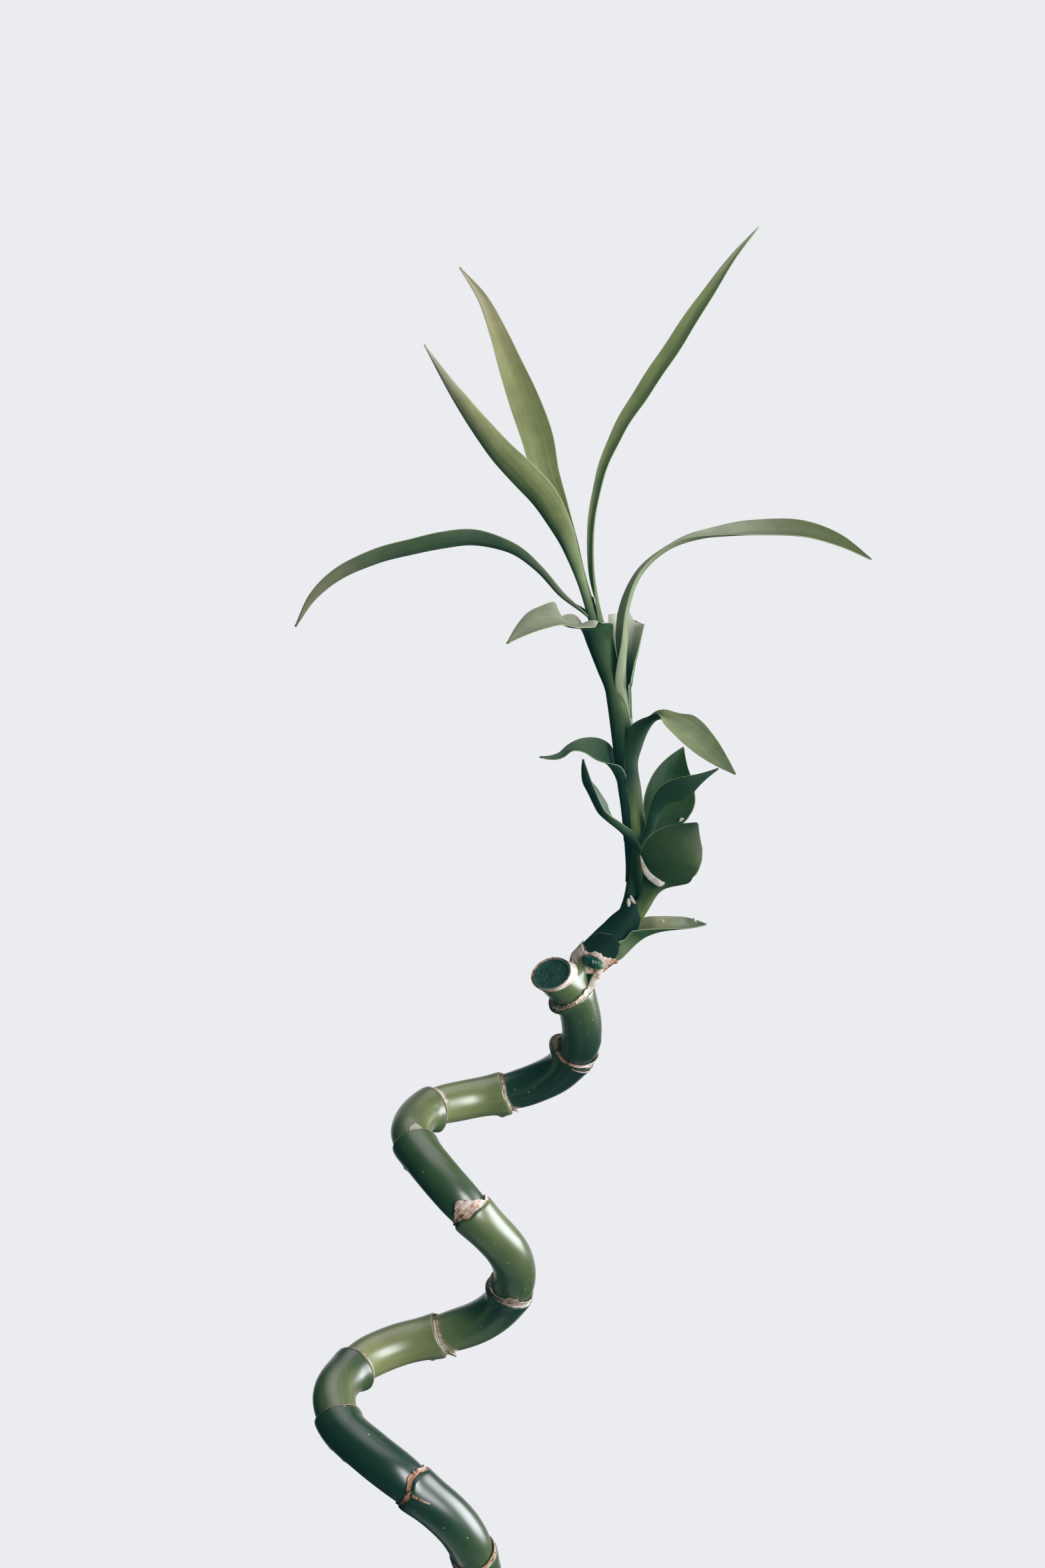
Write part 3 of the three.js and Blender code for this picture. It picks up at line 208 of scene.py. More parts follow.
# The leaves and scales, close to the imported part's. Each sheathes the shoot from foot over reach millimetres,
# at an azimuth counted from the front towards the right, through wrap degrees to either side, and offset from
# the core. Past the sheath it follows the points of its rib. Half widths are measured along the curved
# section, cup is half the angle that the section curls through, and face is how far the upper face is turned
# away from the front.
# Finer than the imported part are: root, the sheath's run further down as length, azimuth, wrap and offset at
# its lower end; low and high, by what share the one and the other half is wider, at shares of the length;
# pull, how far the low margin is drawn to the right and up, at shares of the length; and rim, where the end
# is torn back, at places across.
LEAVES = {
    "leaf_scale_long": {
        "foot": 7.8, "reach": 19.1, "azimuth": [6, 4], "wrap": [85, 85, 82, 70, 45, 16],
        "offset": [1.75, 1.6],
    },
    "leaf_low_right": {
        "foot": 11, "reach": 1.5, "azimuth": [80, 84], "wrap": [55, 70], "offset": [2.6, 3],
        "root": (5, 88, 12, 1.8),
        "rib": [
            (40, -8.2, 338.7), (43.6, -8.1, 342), (47.5, -9.7, 344.2), (52, -11.3, 345.2), (61, -13, 346.1),
        ],
        "half": [7.7, 7.3, 6.3, 4.2, 3.3, 2.3, 0.2], "cup": [75, 70, 64, 57, 49, 40, 30],
        "face": [-96, -91, -80, -65, -58, -53, -50],
        "high": [(0.1, 0), (0.2, -0.15), (0.35, 0.1), (0.5, 0.25), (0.8, 0)],
    },
    "leaf_round": {
        "foot": 10.5, "reach": 10, "azimuth": [60, 62], "wrap": [110, 105], "offset": [0.75, 0.85],
        "rib": [
            (45, -11, 350.5), (46.8, -14.6, 355.2), (49, -19, 359.2), (51, -22.7, 364), (54, -24, 369.2),
            (57.7, -22, 374),
        ],
        "half": [6.7, 4.1, 4, 7, 9.1, 6.8, 0.4], "cup": [105, 83, 56, 35, 30, 30, 30],
        "face": [-118, -121, -143, -163, -171, -172, -172],
        "low": [
            (0.38, 0), (0.5, 0.35), (0.58, 0.3), (0.67, -0.02), (0.76, 0.02), (0.86, 0.16), (0.95, 0.16),
            (1, 0),
        ],
        "pull": [
            (0.36, 0, 0), (0.45, 0.4, -1.4), (0.55, -0.2, -2.4), (0.65, -0.4, -2.3), (0.7, -0.5, -1.9),
            (0.75, -0.9, -1), (0.8, -1.1, -0.4), (0.85, -0.5, 0.4), (0.9, 0.4, 0.2), (1, 0, 0),
        ],
    },
    "leaf_left_low": {
        "foot": 37.5, "reach": 3, "azimuth": [60, 25], "wrap": [60, 60], "offset": [0.75, 0.9],
        "rib": [
            (39.5, -12, 370), (35.5, -13.5, 373.2), (31.5, -14, 376.6), (29, -14, 381.4), (26.9, -13.2, 386),
            (27.1, -13, 391.4),
        ],
        "half": [3.4, 2.2, 2.7, 5, 4.7, 4.4, 0.4], "cup": [60, 68, 62, 51, 50, 48, 40],
        "face": [205, 134, 94, 79, 82, 88, 90],
    },
    "leaf_right_pointed": {
        "foot": 38.6, "reach": 3, "azimuth": [115, 112], "wrap": [60, 60], "offset": [0.75, 1],
        "rib": [
            (46.7, -3, 371), (50, -0.5, 375), (52, 2, 379.5), (52.7, 3.7, 384.7), (54, 5, 390), (56, 5, 395),
        ],
        "half": [3.5, 3.3, 6.4, 7.4, 6.4, 3.8, 0.2], "cup": [60, 38, 27, 24, 24, 24, 24],
        "face": [-68, -43, -20, -11, -12, -12], "high": [(0.2, 0), (0.32, 0.35), (0.45, 0.08), (0.6, 0)],
    },
    "leaf_right_dark": {
        "foot": 39.7, "reach": 2.6, "azimuth": [80, 80], "wrap": [60, 60], "offset": [0.75, 1.1],
        "rib": [
            (46.8, -11, 372.5), (48.1, -13, 377.1), (50.8, -14.9, 380.9), (55, -16, 383.5),
            (59.5, -15.8, 386.2), (64, -15, 388.8),
        ],
        "half": [3.6, 3.2, 3.4, 4.2, 3.3, 1.4, 0.2], "cup": [60, 67, 50, 34, 31, 30, 30],
        "face": [-98, -109, -126, -142, -147, -149, -150],
        "low": [(0.35, 0), (0.5, 0.4), (0.75, 0.45), (0.9, 0)],
    },
    "leaf_front_drooping": {
        "foot": 43.8, "reach": 20, "azimuth": [55, 70], "wrap": [75, 80], "offset": [0.8, 0.95],
        "rib": [
            (44.1, -11.1, 397.7), (47.8, -15.9, 402.6), (52.2, -22.8, 400.8), (56.4, -29, 397),
            (61, -34, 392.2), (66.5, -38, 387.2),
        ],
        "half": [4.3, 3.8, 2.5, 4.75, 4.35, 3.1, 0.2], "cup": [80, 76, 55, 27, 24, 24, 24],
        "face": [-110, -111, -72, -46, -23, -21, -20], "root": (16, 55, 100, 0.7),
        "high": [(0.34, 0), (0.42, 0.5), (0.5, 0.6), (0.56, 0.3), (0.62, 0)],
    },
    "leaf_left_up": {
        "foot": 53.5, "reach": 3.7, "azimuth": [-80, -82], "wrap": [70, 70], "offset": [0.75, 0.85],
        "rib": [
            (36.3, -8, 386.8), (33.1, -9.1, 391.2), (29, -11.1, 394.1), (24.4, -13.3, 394.5),
            (20.2, -14.4, 391.7), (15.2, -15, 391.9),
        ],
        "half": [3.6, 4.5, 5.6, 3.7, 1.8, 1.3, 0.2], "cup": [70, 68, 40, 27, 26, 26, 26],
        "face": [98, 90, 66, 42, 44, 50, 50], "root": (22, -60, 150, 0.1),
    },
    "leaf_funnel_left": {
        "foot": 73.2, "reach": 13, "azimuth": [-20, -20], "wrap": [100, 95], "offset": [0.8, 1.1],
        "rib": [
            (32.3, -9.2, 420.8), (28, -14.1, 427), (24.3, -23.3, 427.3), (18.7, -31.5, 428.1),
            (12.9, -39.1, 426), (6.5, -45, 421.1),
        ],
        "half": [4.8, 5.7, 7.2, 7.7, 5, 3.4, 0.2], "cup": [95, 94, 84, 46, 28, 24, 24],
        "face": [160, 165, 120, 82, 48, 31, 32], "root": (30, -20, 175, 0.6),
        "low": [(0.15, 0), (0.25, 0.15), (0.35, 0.25), (0.43, -0.1), (0.48, -0.25), (0.56, -0.25), (0.66, 0)],
        "pull": [
            (0.2, 0, 0), (0.29, -0.4, -0.7), (0.36, 0.4, -1.8), (0.43, 1.8, -1.9), (0.5, 2.4, -4),
            (0.57, 0.2, -2.2), (0.65, 0.2, -0.5), (0.72, 0, 0),
        ],
    },
    "leaf_funnel_back": {
        "foot": 76.2, "reach": 9, "azimuth": [140, 150], "wrap": [90, 88], "offset": [1.2, 1.5, 2.1, 2.9],
        "rib": [
            (38.6, -3.2, 413.5), (39.3, -2.6, 418), (40.1, -1.8, 421.6), (40.8, -0.9, 425.6),
            (41.3, 0.4, 429.4), (41.9, 1.5, 432.7),
        ],
        "half": [6.8, 6.6, 6, 5.4, 5.8, 6.6], "cup": [88, 87, 87, 88, 85, 76],
        "face": [-28, -25, -20, -12, -9, -8],
        "root": (14, 120, 90, 0.5), "rim": [(-1, -4.2), (-0.2, 0), (0.1, -3), (0.6, -4), (1, -5)],
        "low": [(0, 0), (0.2, -0.3), (0.42, -0.5), (0.55, -0.25), (0.65, 0), (0.8, 0.15), (1, 0.25)],
        "pull": [(0.45, 0, 0), (0.55, -1.2, 0.3), (0.65, -1.9, 0.6), (0.8, -2.3, 0.8), (1, -2.4, 0.8)],
    },
    "leaf_long_right": {
        "foot": 80.3, "reach": 6, "azimuth": [80, 62], "wrap": [40, 62], "offset": [1.2, 1.5],
        "rib": [
            (39.3, -9, 424.9), (40.7, -9, 437.7), (48.4, -9, 447.8), (60, -6.9, 452.7), (72.5, -4.3, 454.4),
            (85, -1.6, 455.1), (97.3, 1.4, 453.2), (108.8, 3, 447.8),
        ],
        "half": [3.5, 4, 2.7, 2.3, 3.9, 5.1, 5.3, 3.5, 0.2], "cup": [66, 72, 60, 46, 30, 22, 22, 22, 22],
        "face": [-110, -75, -70, -84, -72, -61, -56, -49, -46], "root": (14, 88, 14, 1),
    },
    "leaf_top_right": {
        "foot": 97.4, "reach": 8, "azimuth": [60, 66], "wrap": [40, 50], "offset": [0.72, 0.8],
        "rib": [
            (29.8, -5.3, 447.1), (31.1, -2.5, 463.8), (36, 2.3, 479.4), (43.9, 7.6, 493.4), (52.6, 13.1, 507),
            (61.1, 18.7, 520.7), (69.7, 23.8, 534.5), (79.6, 28, 547.7),
        ],
        "half": [1.5, 1.6, 1.7, 2.6, 3.6, 3.8, 3.4, 2, 0.2], "cup": [50, 64, 46, 27, 21, 20, 20, 20, 20],
        "face": [-114, -54, -50, -50, -50, -50, -50, -50, -50],
    },
    "leaf_top_left": {
        "foot": 98.6, "reach": 8, "azimuth": [-40, -42], "wrap": [40, 50], "offset": [0.72, 0.8],
        "rib": [
            (26.2, -9.4, 440.8), (22.4, -10.4, 451.1), (17.6, -11.3, 460.9), (10.4, -13.1, 469.1),
            (2.8, -14.8, 476.9), (-3.9, -16.5, 485.5), (-10.2, -18.7, 494.4), (-16.1, -20, 503.6),
        ],
        "half": [1.6, 1.8, 3, 4.2, 4.3, 3.6, 2.6, 1.4, 0.2], "cup": [50, 65, 43, 30, 26, 22, 22, 22, 22],
        "face": [138, 148, 150, 150, 150],
    },
    "leaf_top_back": {
        "foot": 99.4, "reach": 8, "azimuth": [-160, -165], "wrap": [40, 50], "offset": [0.72, 0.8],
        "rib": [
            (26.2, 0.5, 443.9), (22.2, 3.7, 456.9), (17.7, 6.9, 469.6), (14.7, 9.4, 482.6),
            (10.3, 11.4, 495.6), (5.4, 13, 508.4), (0.5, 14, 521.3), (-7.5, 14, 532.6),
        ],
        "half": [1.6, 1.9, 3, 3.9, 4.7, 4.4, 3.1, 1.8, 0.2], "cup": [50, 57, 39, 28, 24, 22, 22, 22, 22],
        "face": [15, 10, 3, 0, 0],
    },
    "leaf_long_left": {
        "foot": 100.6, "reach": 6.5, "azimuth": [-100, -100], "wrap": [40, 50], "offset": [0.72, 0.95],
        "rib": [
            (20, -8.9, 437.4), (11.8, -11.4, 446), (1, -13.8, 450.8), (-10.9, -16.3, 450.5),
            (-22.6, -18.4, 447.6), (-34.2, -19.7, 443.9), (-44.2, -20.9, 437.2), (-50.9, -22, 427.1),
        ],
        "half": [1.6, 1.9, 2.3, 3.4, 3.6, 3.2, 2.9, 1.8, 0.2], "cup": [50, 61, 41, 24, 20, 20, 20, 20, 20],
        "face": [80, 107, 117, 122, 124, 125, 125, 130, 130],
    },
    "leaf_scale_short": {
        "foot": 5.8, "reach": 9.2, "azimuth": [0, 8, 15, 18], "wrap": [25, 46, 58, 52, 26],
        "offset": [2.6, 3],
    },
}
# Colours of each leaf from foot to tip, upper face and under face: its own green with painted light and shade
# # in it, paler where a face lies in shade and darker where the light would gloss it; and where it needs it
# # painted shade and light across, from its low margin to its high one, with 0.5 for no change
LEAF_TONES_WITH_PAINTED_LIGHT = {
    "leaf_scale_long": (
        ["#22402c", "#22402c"], ["#152c20", "#11281a", "#10281a", "#0d2415", "#0c1e12", "#10251a"],
    ),
    "leaf_low_right": (
        ["#8a9068", "#969a76", "#a0a27e", "#c8c8a0", "#9ca98c", "#4a5440"],
        ["#5c6f48", "#627250", "#475b39", "#4a5c3a", "#55664a", "#5a6a52"],
    ),
    # the round leaf's under face darkens towards the tip: painted shade against the window's gloss
    "leaf_round": (
        ["#4a5c38", "#43543a", "#3c4c34"],
        ["#566a3e", "#62703f", "#566138", "#333f22", "#414b28", "#252f16"],
    ),
    "leaf_left_low": (
        ["#6c8274", "#788d7f", "#6e8476"], ["#3f5236", "#46573b", "#556549", "#4a6650", "#3f5a48"],
    ),
    "leaf_right_pointed": (
        ["#3c4e26", "#41522a", "#364821", "#42542b", "#273b16", "#42552c"],
        ["#43603a", "#3f5c36", "#35522f"],
    ),
    "leaf_right_dark": (
        ["#7c8f68", "#43573c", "#3a4c38"],
        ["#35492c", "#21361a", "#142912", "#21331a", "#22341d", "#2a3f2a"],
    ),
    # the drooping leaf's dark band on the under face, a third of the way along, is painted shade
    "leaf_front_drooping": (
        ["#5f7040", "#8f9878", "#a0a488", "#8f9b70", "#8d9a6f", "#5b6744"],
        ["#284229", "#75824a", "#172a16", "#546643", "#5a6a4c", "#5f7250"],
    ),
    "leaf_left_up": (
        ["#4b6040", "#45593c", "#4a5a42", "#5a684e"],
        ["#2f4a36", "#2d4839", "#263c38", "#425544", "#4c5c48", "#4f5f4c"],
    ),
    # painted light on the funnel leaf's low margin and painted shade on its high one
    "leaf_funnel_left": (
        ["#b4b6a0", "#b8b9a4", "#adae99", "#bdc0aa", "#838870", "#7f8668"],
        ["#16281e", "#0c221c", "#576640", "#3e4f34", "#4f6442", "#5f7050"], [0.66, 0.5, 0.3],
    ),
    # painted shade on the back funnel leaf's low margin and painted light on its high one
    "leaf_funnel_back": (
        ["#3c5238", "#40563a", "#44593c", "#4d6143", "#55694a", "#a0a591", "#c6c8ba"],
        ["#22402a", "#2f4a30", "#4f654a"], [0.3, 0.5, 0.68],
    ),
    # the long right leaf's upper face is painted pale near its foot, where it lies in shade
    "leaf_long_right": (
        ["#8f9e78", "#c9d0b0", "#c0c9ae", "#adb199", "#636d47", "#49522a"],
        ["#838b73", "#7c8a66", "#737f64", "#6a764e"],
    ),
    "leaf_top_right": (
        ["#7f8f5c", "#9aa97a", "#8e9b67", "#87975a", "#94a566", "#b2ba98"],
        ["#5c7048", "#7a8860", "#8a9470"],
    ),
    "leaf_top_left": (
        ["#66783f", "#7c8a50", "#7c8660"],
        ["#354c38", "#8a9c73", "#8a9660", "#8c9662", "#a6ab7a", "#d6d2c0"],
    ),
    "leaf_top_back": (
        ["#6f7f50", "#7c8a56", "#84905d", "#8a925e", "#a8a976", "#c5bd9e"],
        ["#66803f", "#748448", "#9a9a6c"],
    ),
    "leaf_long_left": (
        ["#3c5240", "#31462e", "#38502f", "#5a6b48"],
        ["#8f957c", "#7c8668", "#56624a", "#485637", "#656c4f", "#706a52"],
    ),
    "leaf_scale_short": (["#22402c", "#22402c"], ["#0a1f18", "#0a1c12", "#0c2014"]),
}


# Curves

def blended(rows, k, u):
    """The row at u past row k of a smooth curve through all the rows."""
    def row(i):
        if i < 0:
            return [2 * v - w for v, w in zip(rows[0], rows[1])]
        if i >= len(rows):
            return [2 * v - w for v, w in zip(rows[-1], rows[-2])]
        return rows[i]

    return [
        0.5 * (2 * b + (c - a) * u + (2 * a - 5 * b + 4 * c - d) * u * u + (3 * b - a - 3 * c + d) * u ** 3)
        for a, b, c, d in zip(row(k - 1), row(k), row(k + 1), row(k + 2))
    ]


def spread(values, u):
    """The value at u, from 0 to 1, of a smooth run of evenly spaced values."""
    place = u * (len(values) - 1)
    k = min(int(place), len(values) - 2)
    return blended([(v,) for v in values], k, place - k)[0]


def wrapped(angle):
    """An angle in degrees, brought between -180 and 180."""
    return (angle + 180) % 360 - 180


def keyed(rows, angle):
    """The values at an angle, blended between rows that start with their own angle and go once round."""
    angle = wrapped(angle)
    first, last = rows[0], rows[-1]
    run = [(last[0] - 360, *last[1:]), *rows, (first[0] + 360, *first[1:])]
    k = next(i for i in range(len(run) - 1) if angle <= run[i + 1][0])
    one, two = run[k], run[k + 1]
    u = (angle - one[0]) / (two[0] - one[0])
    return [a + (b - a) * u for a, b in zip(one[1:], two[1:])]


def between(rows, place):
    """The value at a place, on straight lines through rows of place and value."""
    if place <= rows[0][0]:
        return rows[0][1]
    for (start, one), (end, two) in zip(rows, rows[1:]):
        if place <= end:
            return one + (two - one) * (place - start) / (end - start)
    return rows[-1][1]


def smooth(low, high, value):
    """0 up to low, 1 from high on, and a soft rise between them."""
    u = min(1.0, max(0.0, (value - low) / (high - low)))
    return u * u * (3 - 2 * u)


class Course:
    """A smooth curve through rows of numbers, read by the distance along it."""

    def __init__(self, rows, steps=24):
        self.rows = [blended(rows, k, i / steps) for k in range(len(rows) - 1) for i in range(steps)]
        self.rows.append(list(rows[-1]))
        self.marks = [0.0]
        for one, two in zip(self.rows, self.rows[1:]):
            self.marks.append(self.marks[-1] + (Vector(two[:3]) - Vector(one[:3])).length)
        self.length = self.marks[-1]

    def at(self, distance):
        """The whole row at a distance."""
        i = min(max(bisect_right(self.marks, distance), 1), len(self.marks) - 1)
        gap = self.marks[i] - self.marks[i - 1]
        u = min(1.0, max(0.0, (distance - self.marks[i - 1]) / gap))
        return [a + (b - a) * u for a, b in zip(self.rows[i - 1], self.rows[i])]

    def point(self, distance):
        return Vector(self.at(distance)[:3])

    def way(self, distance, reach=0.5):
        """The direction of the curve, read over reach millimetres to either side."""
        distance = min(distance, self.length)
        ahead = self.point(min(self.length, distance + reach))
        return (ahead - self.point(max(0.0, distance - reach))).normalized()


def facing(way, angle):
    """The direction square to a way that looks to the front, turned about it by an angle in degrees."""
    front = Vector((0, -1, 0))
    front -= way * front.dot(way)
    return Quaternion(way, radians(angle)) @ front.normalized()


def angle_of(direction, way):
    """The angle that facing() would need to look in a direction."""
    front = facing(way, 0)
    return degrees(atan2(direction.dot(way.cross(front)), direction.dot(front)))


def carried(ways):
    """Sideways directions carried along a curve without twist."""
    sides = [Vector((0, 1, 0)).cross(ways[0]).normalized()]
    for before, now in zip(ways, ways[1:]):
        side = before.rotation_difference(now) @ sides[-1]
        sides.append((side - now * side.dot(now)).normalized())
    return sides


# Meshes and objects

SEAM = 0.0005  # millimetres between points that are made one at a seam


def bent_grid(around, stations, place, loop=False):
    """A grid rolled up into a skin, with its ends closed unless it is a loop. place(i, j) gives the point in
    millimetres of side i and station j, and the two vectors kept with it: spot, which is where it lies on its
    piece, and grain, in millimetres along the surface."""
    shape = bmesh.new()
    spot = shape.verts.layers.float_vector.new("spot")
    grain = shape.verts.layers.float_vector.new("grain")
    bmesh.ops.create_grid(shape, x_segments=around, y_segments=stations, size=0.5)
    for vert in shape.verts:
        i = round((vert.co.x + 0.5) * around)
        j = round((vert.co.y + 0.5) * stations)
        vert.co, vert[spot], vert[grain] = place(i, j)
    seam = [vert for vert in shape.verts if vert.is_boundary]
    bmesh.ops.remove_doubles(shape, verts=seam, dist=SEAM)
    if not loop:
        bmesh.ops.holes_fill(shape, edges=[edge for edge in shape.edges if edge.is_boundary])
    bmesh.ops.recalc_face_normals(shape, faces=shape.faces)
    return shape


def turned_shape(outline, steps, seam):
    """A shape turned about +Z from an outline of radius and height."""
    shape = bmesh.new()
    verts = [shape.verts.new((x, 0, z)) for x, z in outline]
    edges = [shape.edges.new(pair) for pair in zip(verts, verts[1:])]
    bmesh.ops.spin(
        shape, geom=verts + edges, cent=(0, 0, 0), axis=(0, 0, 1), angle=2 * pi, steps=steps, use_merge=True)
    bmesh.ops.remove_doubles(shape, verts=shape.verts, dist=seam)
    return shape


def smooth_mesh(name, shape, finishes):
    """A smooth mesh of a shape, which is used up, with its finishes."""
    mesh = bpy.data.meshes.new(name)
    shape.to_mesh(mesh)
    shape.free()
    for finish in finishes:
        mesh.materials.append(finish)
    mesh.shade_smooth()
    return mesh


def in_scene(name, data):
    """An object of a mesh, a lamp or a camera, put in the scene."""
    made = bpy.data.objects.new(name, data)
    bpy.context.scene.collection.objects.link(made)
    return made


def new_piece(name, shape, finishes, replaced=()):
    """Makes an object of a shape in millimetres, with its finishes, and lets it ride on the plant."""
    bmesh.ops.scale(shape, vec=(MM, MM, MM), verts=shape.verts)
    piece = in_scene(name, smooth_mesh(name, shape, finishes))
    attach(piece, "root")
    if replaced:
        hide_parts(*replaced)


# Finishes

def linear(colour):
    """An sRGB hex colour as linear red, green, blue and alpha."""
    shares = [int(colour[i:i + 2], 16) / 255 for i in (1, 3, 5)]
    return tuple(v / 12.92 if v <= 0.04045 else ((v + 0.055) / 1.055) ** 2.4 for v in shares) + (1.0,)


def bare_tree(owner):
    """The emptied node tree of a material or a world."""
    owner.use_nodes = True
    owner.node_tree.nodes.clear()
    return owner.node_tree


def set_inputs(tree, node, inputs):
    """Sets a node's inputs, each to a value, a hex colour or another node's socket."""
    for key, value in inputs.items():
        if isinstance(value, bpy.types.NodeSocket):
            tree.links.new(value, node.inputs[key])
        else:
            node.inputs[key].default_value = linear(value) if isinstance(value, str) else value


def add_node(tree, kind, inputs=None, **settings):
    """Adds a node with its settings and its inputs."""
    made = tree.nodes.new(kind)
    for key, value in settings.items():
        setattr(made, key, value)
    set_inputs(tree, made, inputs or {})
    return made


def kept(tree, name):
    """The vector kept with each point under a name."""
    return add_node(tree, "ShaderNodeAttribute", attribute_name=name).outputs["Vector"]


def parts_of(tree, vector):
    """The sockets X, Y and Z of a vector."""
    return add_node(tree, "ShaderNodeSeparateXYZ", {0: vector}).outputs


def stretched(tree, place, scale, turn=0.0):
    """Places scaled along each axis, and turned about the third one."""
    inputs = {"Vector": place, "Rotation": (0, 0, turn), "Scale": scale}
    return add_node(tree, "ShaderNodeMapping", inputs).outputs[0]


def blots(tree, place, scale, detail, distortion=0.0):
    """A soft random pattern of light and dark."""
    inputs = {"Vector": place, "Scale": scale, "Detail": detail, "Distortion": distortion}
    return add_node(tree, "ShaderNodeTexNoise", inputs).outputs["Fac"]


def ranged(tree, value, start, end, first=0.0, last=1.0, **settings):
    """A value that runs from start to end, brought to run from first to last."""
    inputs = {"Value": value, "From Min": start, "From Max": end, "To Min": first, "To Max": last}
    return add_node(tree, "ShaderNodeMapRange", inputs, **settings).outputs[0]


def shaded(tree, value, stops):
    """The colours or greys of a ramp at a value. stops are their places and themselves."""
    made = add_node(tree, "ShaderNodeValToRGB", {0: value})
    elements = made.color_ramp.elements
    while len(elements) < len(stops):
        elements.new(0.5)
    for element, (place, colour) in zip(elements, stops):
        element.position = place
        element.color = linear(colour) if isinstance(colour, str) else (colour, colour, colour, 1)
    return made.outputs[0]


def mixed(tree, share, one, two, blend="MIX"):
    """A colour mixed of two."""
    inputs = {0: share, 6: one, 7: two}
    return add_node(tree, "ShaderNodeMix", inputs, data_type="RGBA", blend_type=blend).outputs[2]


def patterned(tree, colour, pattern, greys, share):
    """A colour that a pattern darkens and lightens. greys turn the pattern to dark and light, with 0.5 for no
    change."""
    return mixed(tree, share, colour, shaded(tree, pattern, greys), "OVERLAY")


def dotted(tree, colour, place, scale, greys, dot):
    """A colour with small round dots of another one. greys are how much of it shows, by the distance from a
    dot's middle."""
    cells = add_node(tree, "ShaderNodeTexVoronoi", {"Vector": place, "Scale": scale, "Randomness": 1.0})
    return mixed(tree, shaded(tree, cells.outputs["Distance"], greys), colour, dot)


def bumped(tree, height, strength, metres):
    """The relief of a pattern, so many metres deep."""
    inputs = {"Height": height, "Strength": strength, "Distance": metres}
    return add_node(tree, "ShaderNodeBump", inputs).outputs[0]


def new_finish(name):
    """An empty material: its tree and its shader, to be filled in."""
    material = bpy.data.materials.new(name)
    tree = bare_tree(material)
    shader = add_node(tree, "ShaderNodeBsdfPrincipled")
    add_node(tree, "ShaderNodeOutputMaterial", {"Surface": shader.outputs["BSDF"]})
    return material, tree, shader


def cane_rind():
    """Living cane: a smooth waxy rind, darkest under a node and pale yellow green above it, with painted shade
    and light laid into each internode's green, faintly streaked lengthwise and dotted with pale breathing
    pores. The wax gives it a soft wide gloss."""
    material, tree, shader = new_finish("cane_rind")
    grain = kept(tree, "grain")
    # the rind's shade, from dark green to pale olive: its own colour together with painted shade and light
    colour = shaded(tree, parts_of(tree, kept(tree, "spot"))["X"], [
        (0.0, "#13231a"), (0.1, "#1f3323"), (0.2, "#2c4029"), (0.38, "#4b5934"), (0.5, "#5c683f"),
        (0.75, "#747e4e"), (1.0, "#8a915d"),
    ])
    # streaks 1.1 mm wide and 16 mm long
    streaks = blots(tree, stretched(tree, grain, (0.9, 0.9, 0.06)), 1.0, 3.0)
    colour = patterned(tree, colour, streaks, [(0.3, 0.42), (0.7, 0.6)], 0.55)
    # blotches about 9 mm across
    blotches = blots(tree, grain, 0.11, 2.0)
    colour = patterned(tree, colour, blotches, [(0.3, 0.38), (0.7, 0.62)], 0.5)
    # pores 0.3 mm wide, one in about 3 mm, drawn coarser than the real ones so that they show
    colour = dotted(tree, colour, grain, 0.3, [(0.05, 1.0), (0.09, 0.0)], "#a3a37c")
    set_inputs(tree, shader, {
        "Base Color": colour,
        "Roughness": ranged(tree, blotches, 0.0, 1.0, 0.29, 0.38),
        "Normal": bumped(tree, streaks, 0.12, 0.00012),
        "IOR": 1.5,
        "Specular IOR Level": 0.9,
        "Coat Weight": 0.8,
        "Coat Roughness": 0.32,
    })
    return material


def cut_fibres():
    """The cut top: wet dark green fibres, torn in short strokes by the knife."""
    material, tree, shader = new_finish("cut_fibres")
    # strokes 0.35 mm wide and 1.4 mm long, slantwise
    strokes = blots(tree, stretched(tree, kept(tree, "grain"), (2.8, 0.7, 1.0), 0.7), 1.0, 4.0)
    greens = [(0.35, "#0c2421"), (0.55, "#17382f"), (0.68, "#2c5a47"), (0.8, "#3f7458")]
    set_inputs(tree, shader, {
        "Base Color": shaded(tree, strokes, greens),
        "Roughness": 0.6,
        "Normal": bumped(tree, strokes, 0.8, 0.0004),
    })
    return material


def dry_husk(name, greyed=0.0):
    """Dead leaf sheath left on a node: thin, papery and matt, with fibres that run round the cane, from rusty
    brown where it is freshly torn to bleached where it is old, and paler in places with painted light where
    it lies in shade."""
    material, tree, shader = new_finish(name)
    grain = kept(tree, "grain")
    # tone from the rows: the husk's own colour, raised with painted light where it lies in shade
    tone = parts_of(tree, kept(tree, "spot"))["X"]
    # fibres 0.4 mm wide and 5 mm long
    fibres = blots(tree, stretched(tree, grain, (0.2, 2.4, 1.0)), 1.0, 4.0)
    # rusty stains about 2 mm across
    stains = blots(tree, grain, 0.55, 3.0, 1.0)
    for change in (ranged(tree, fibres, 0.3, 0.7, -0.3, 0.25), ranged(tree, stains, 0.52, 0.68, 0.0, -0.45)):
        tone = add_node(tree, "ShaderNodeMath", {0: tone, 1: change}, operation="ADD").outputs[0]
    dry = shaded(tree, tone, [
        (0.0, "#4a2e20"), (0.2, "#8a5b40"), (0.4, "#b08a70"), (0.6, "#c4aa98"), (0.8, "#d6c6ba"),
        (1.0, "#e4dcd4"),
    ])
    set_inputs(tree, shader, {
        "Base Color": mixed(tree, greyed, dry, "#8b9178"),
        "Roughness": 0.8,
        "Normal": bumped(tree, fibres, 0.8, 0.00025),
        "Specular IOR Level": 0.35,
    })
    return material


def evenly(values):
    """A ramp's stops for values at even distances."""
    return [(i / (len(values) - 1), value) for i, value in enumerate(values)]


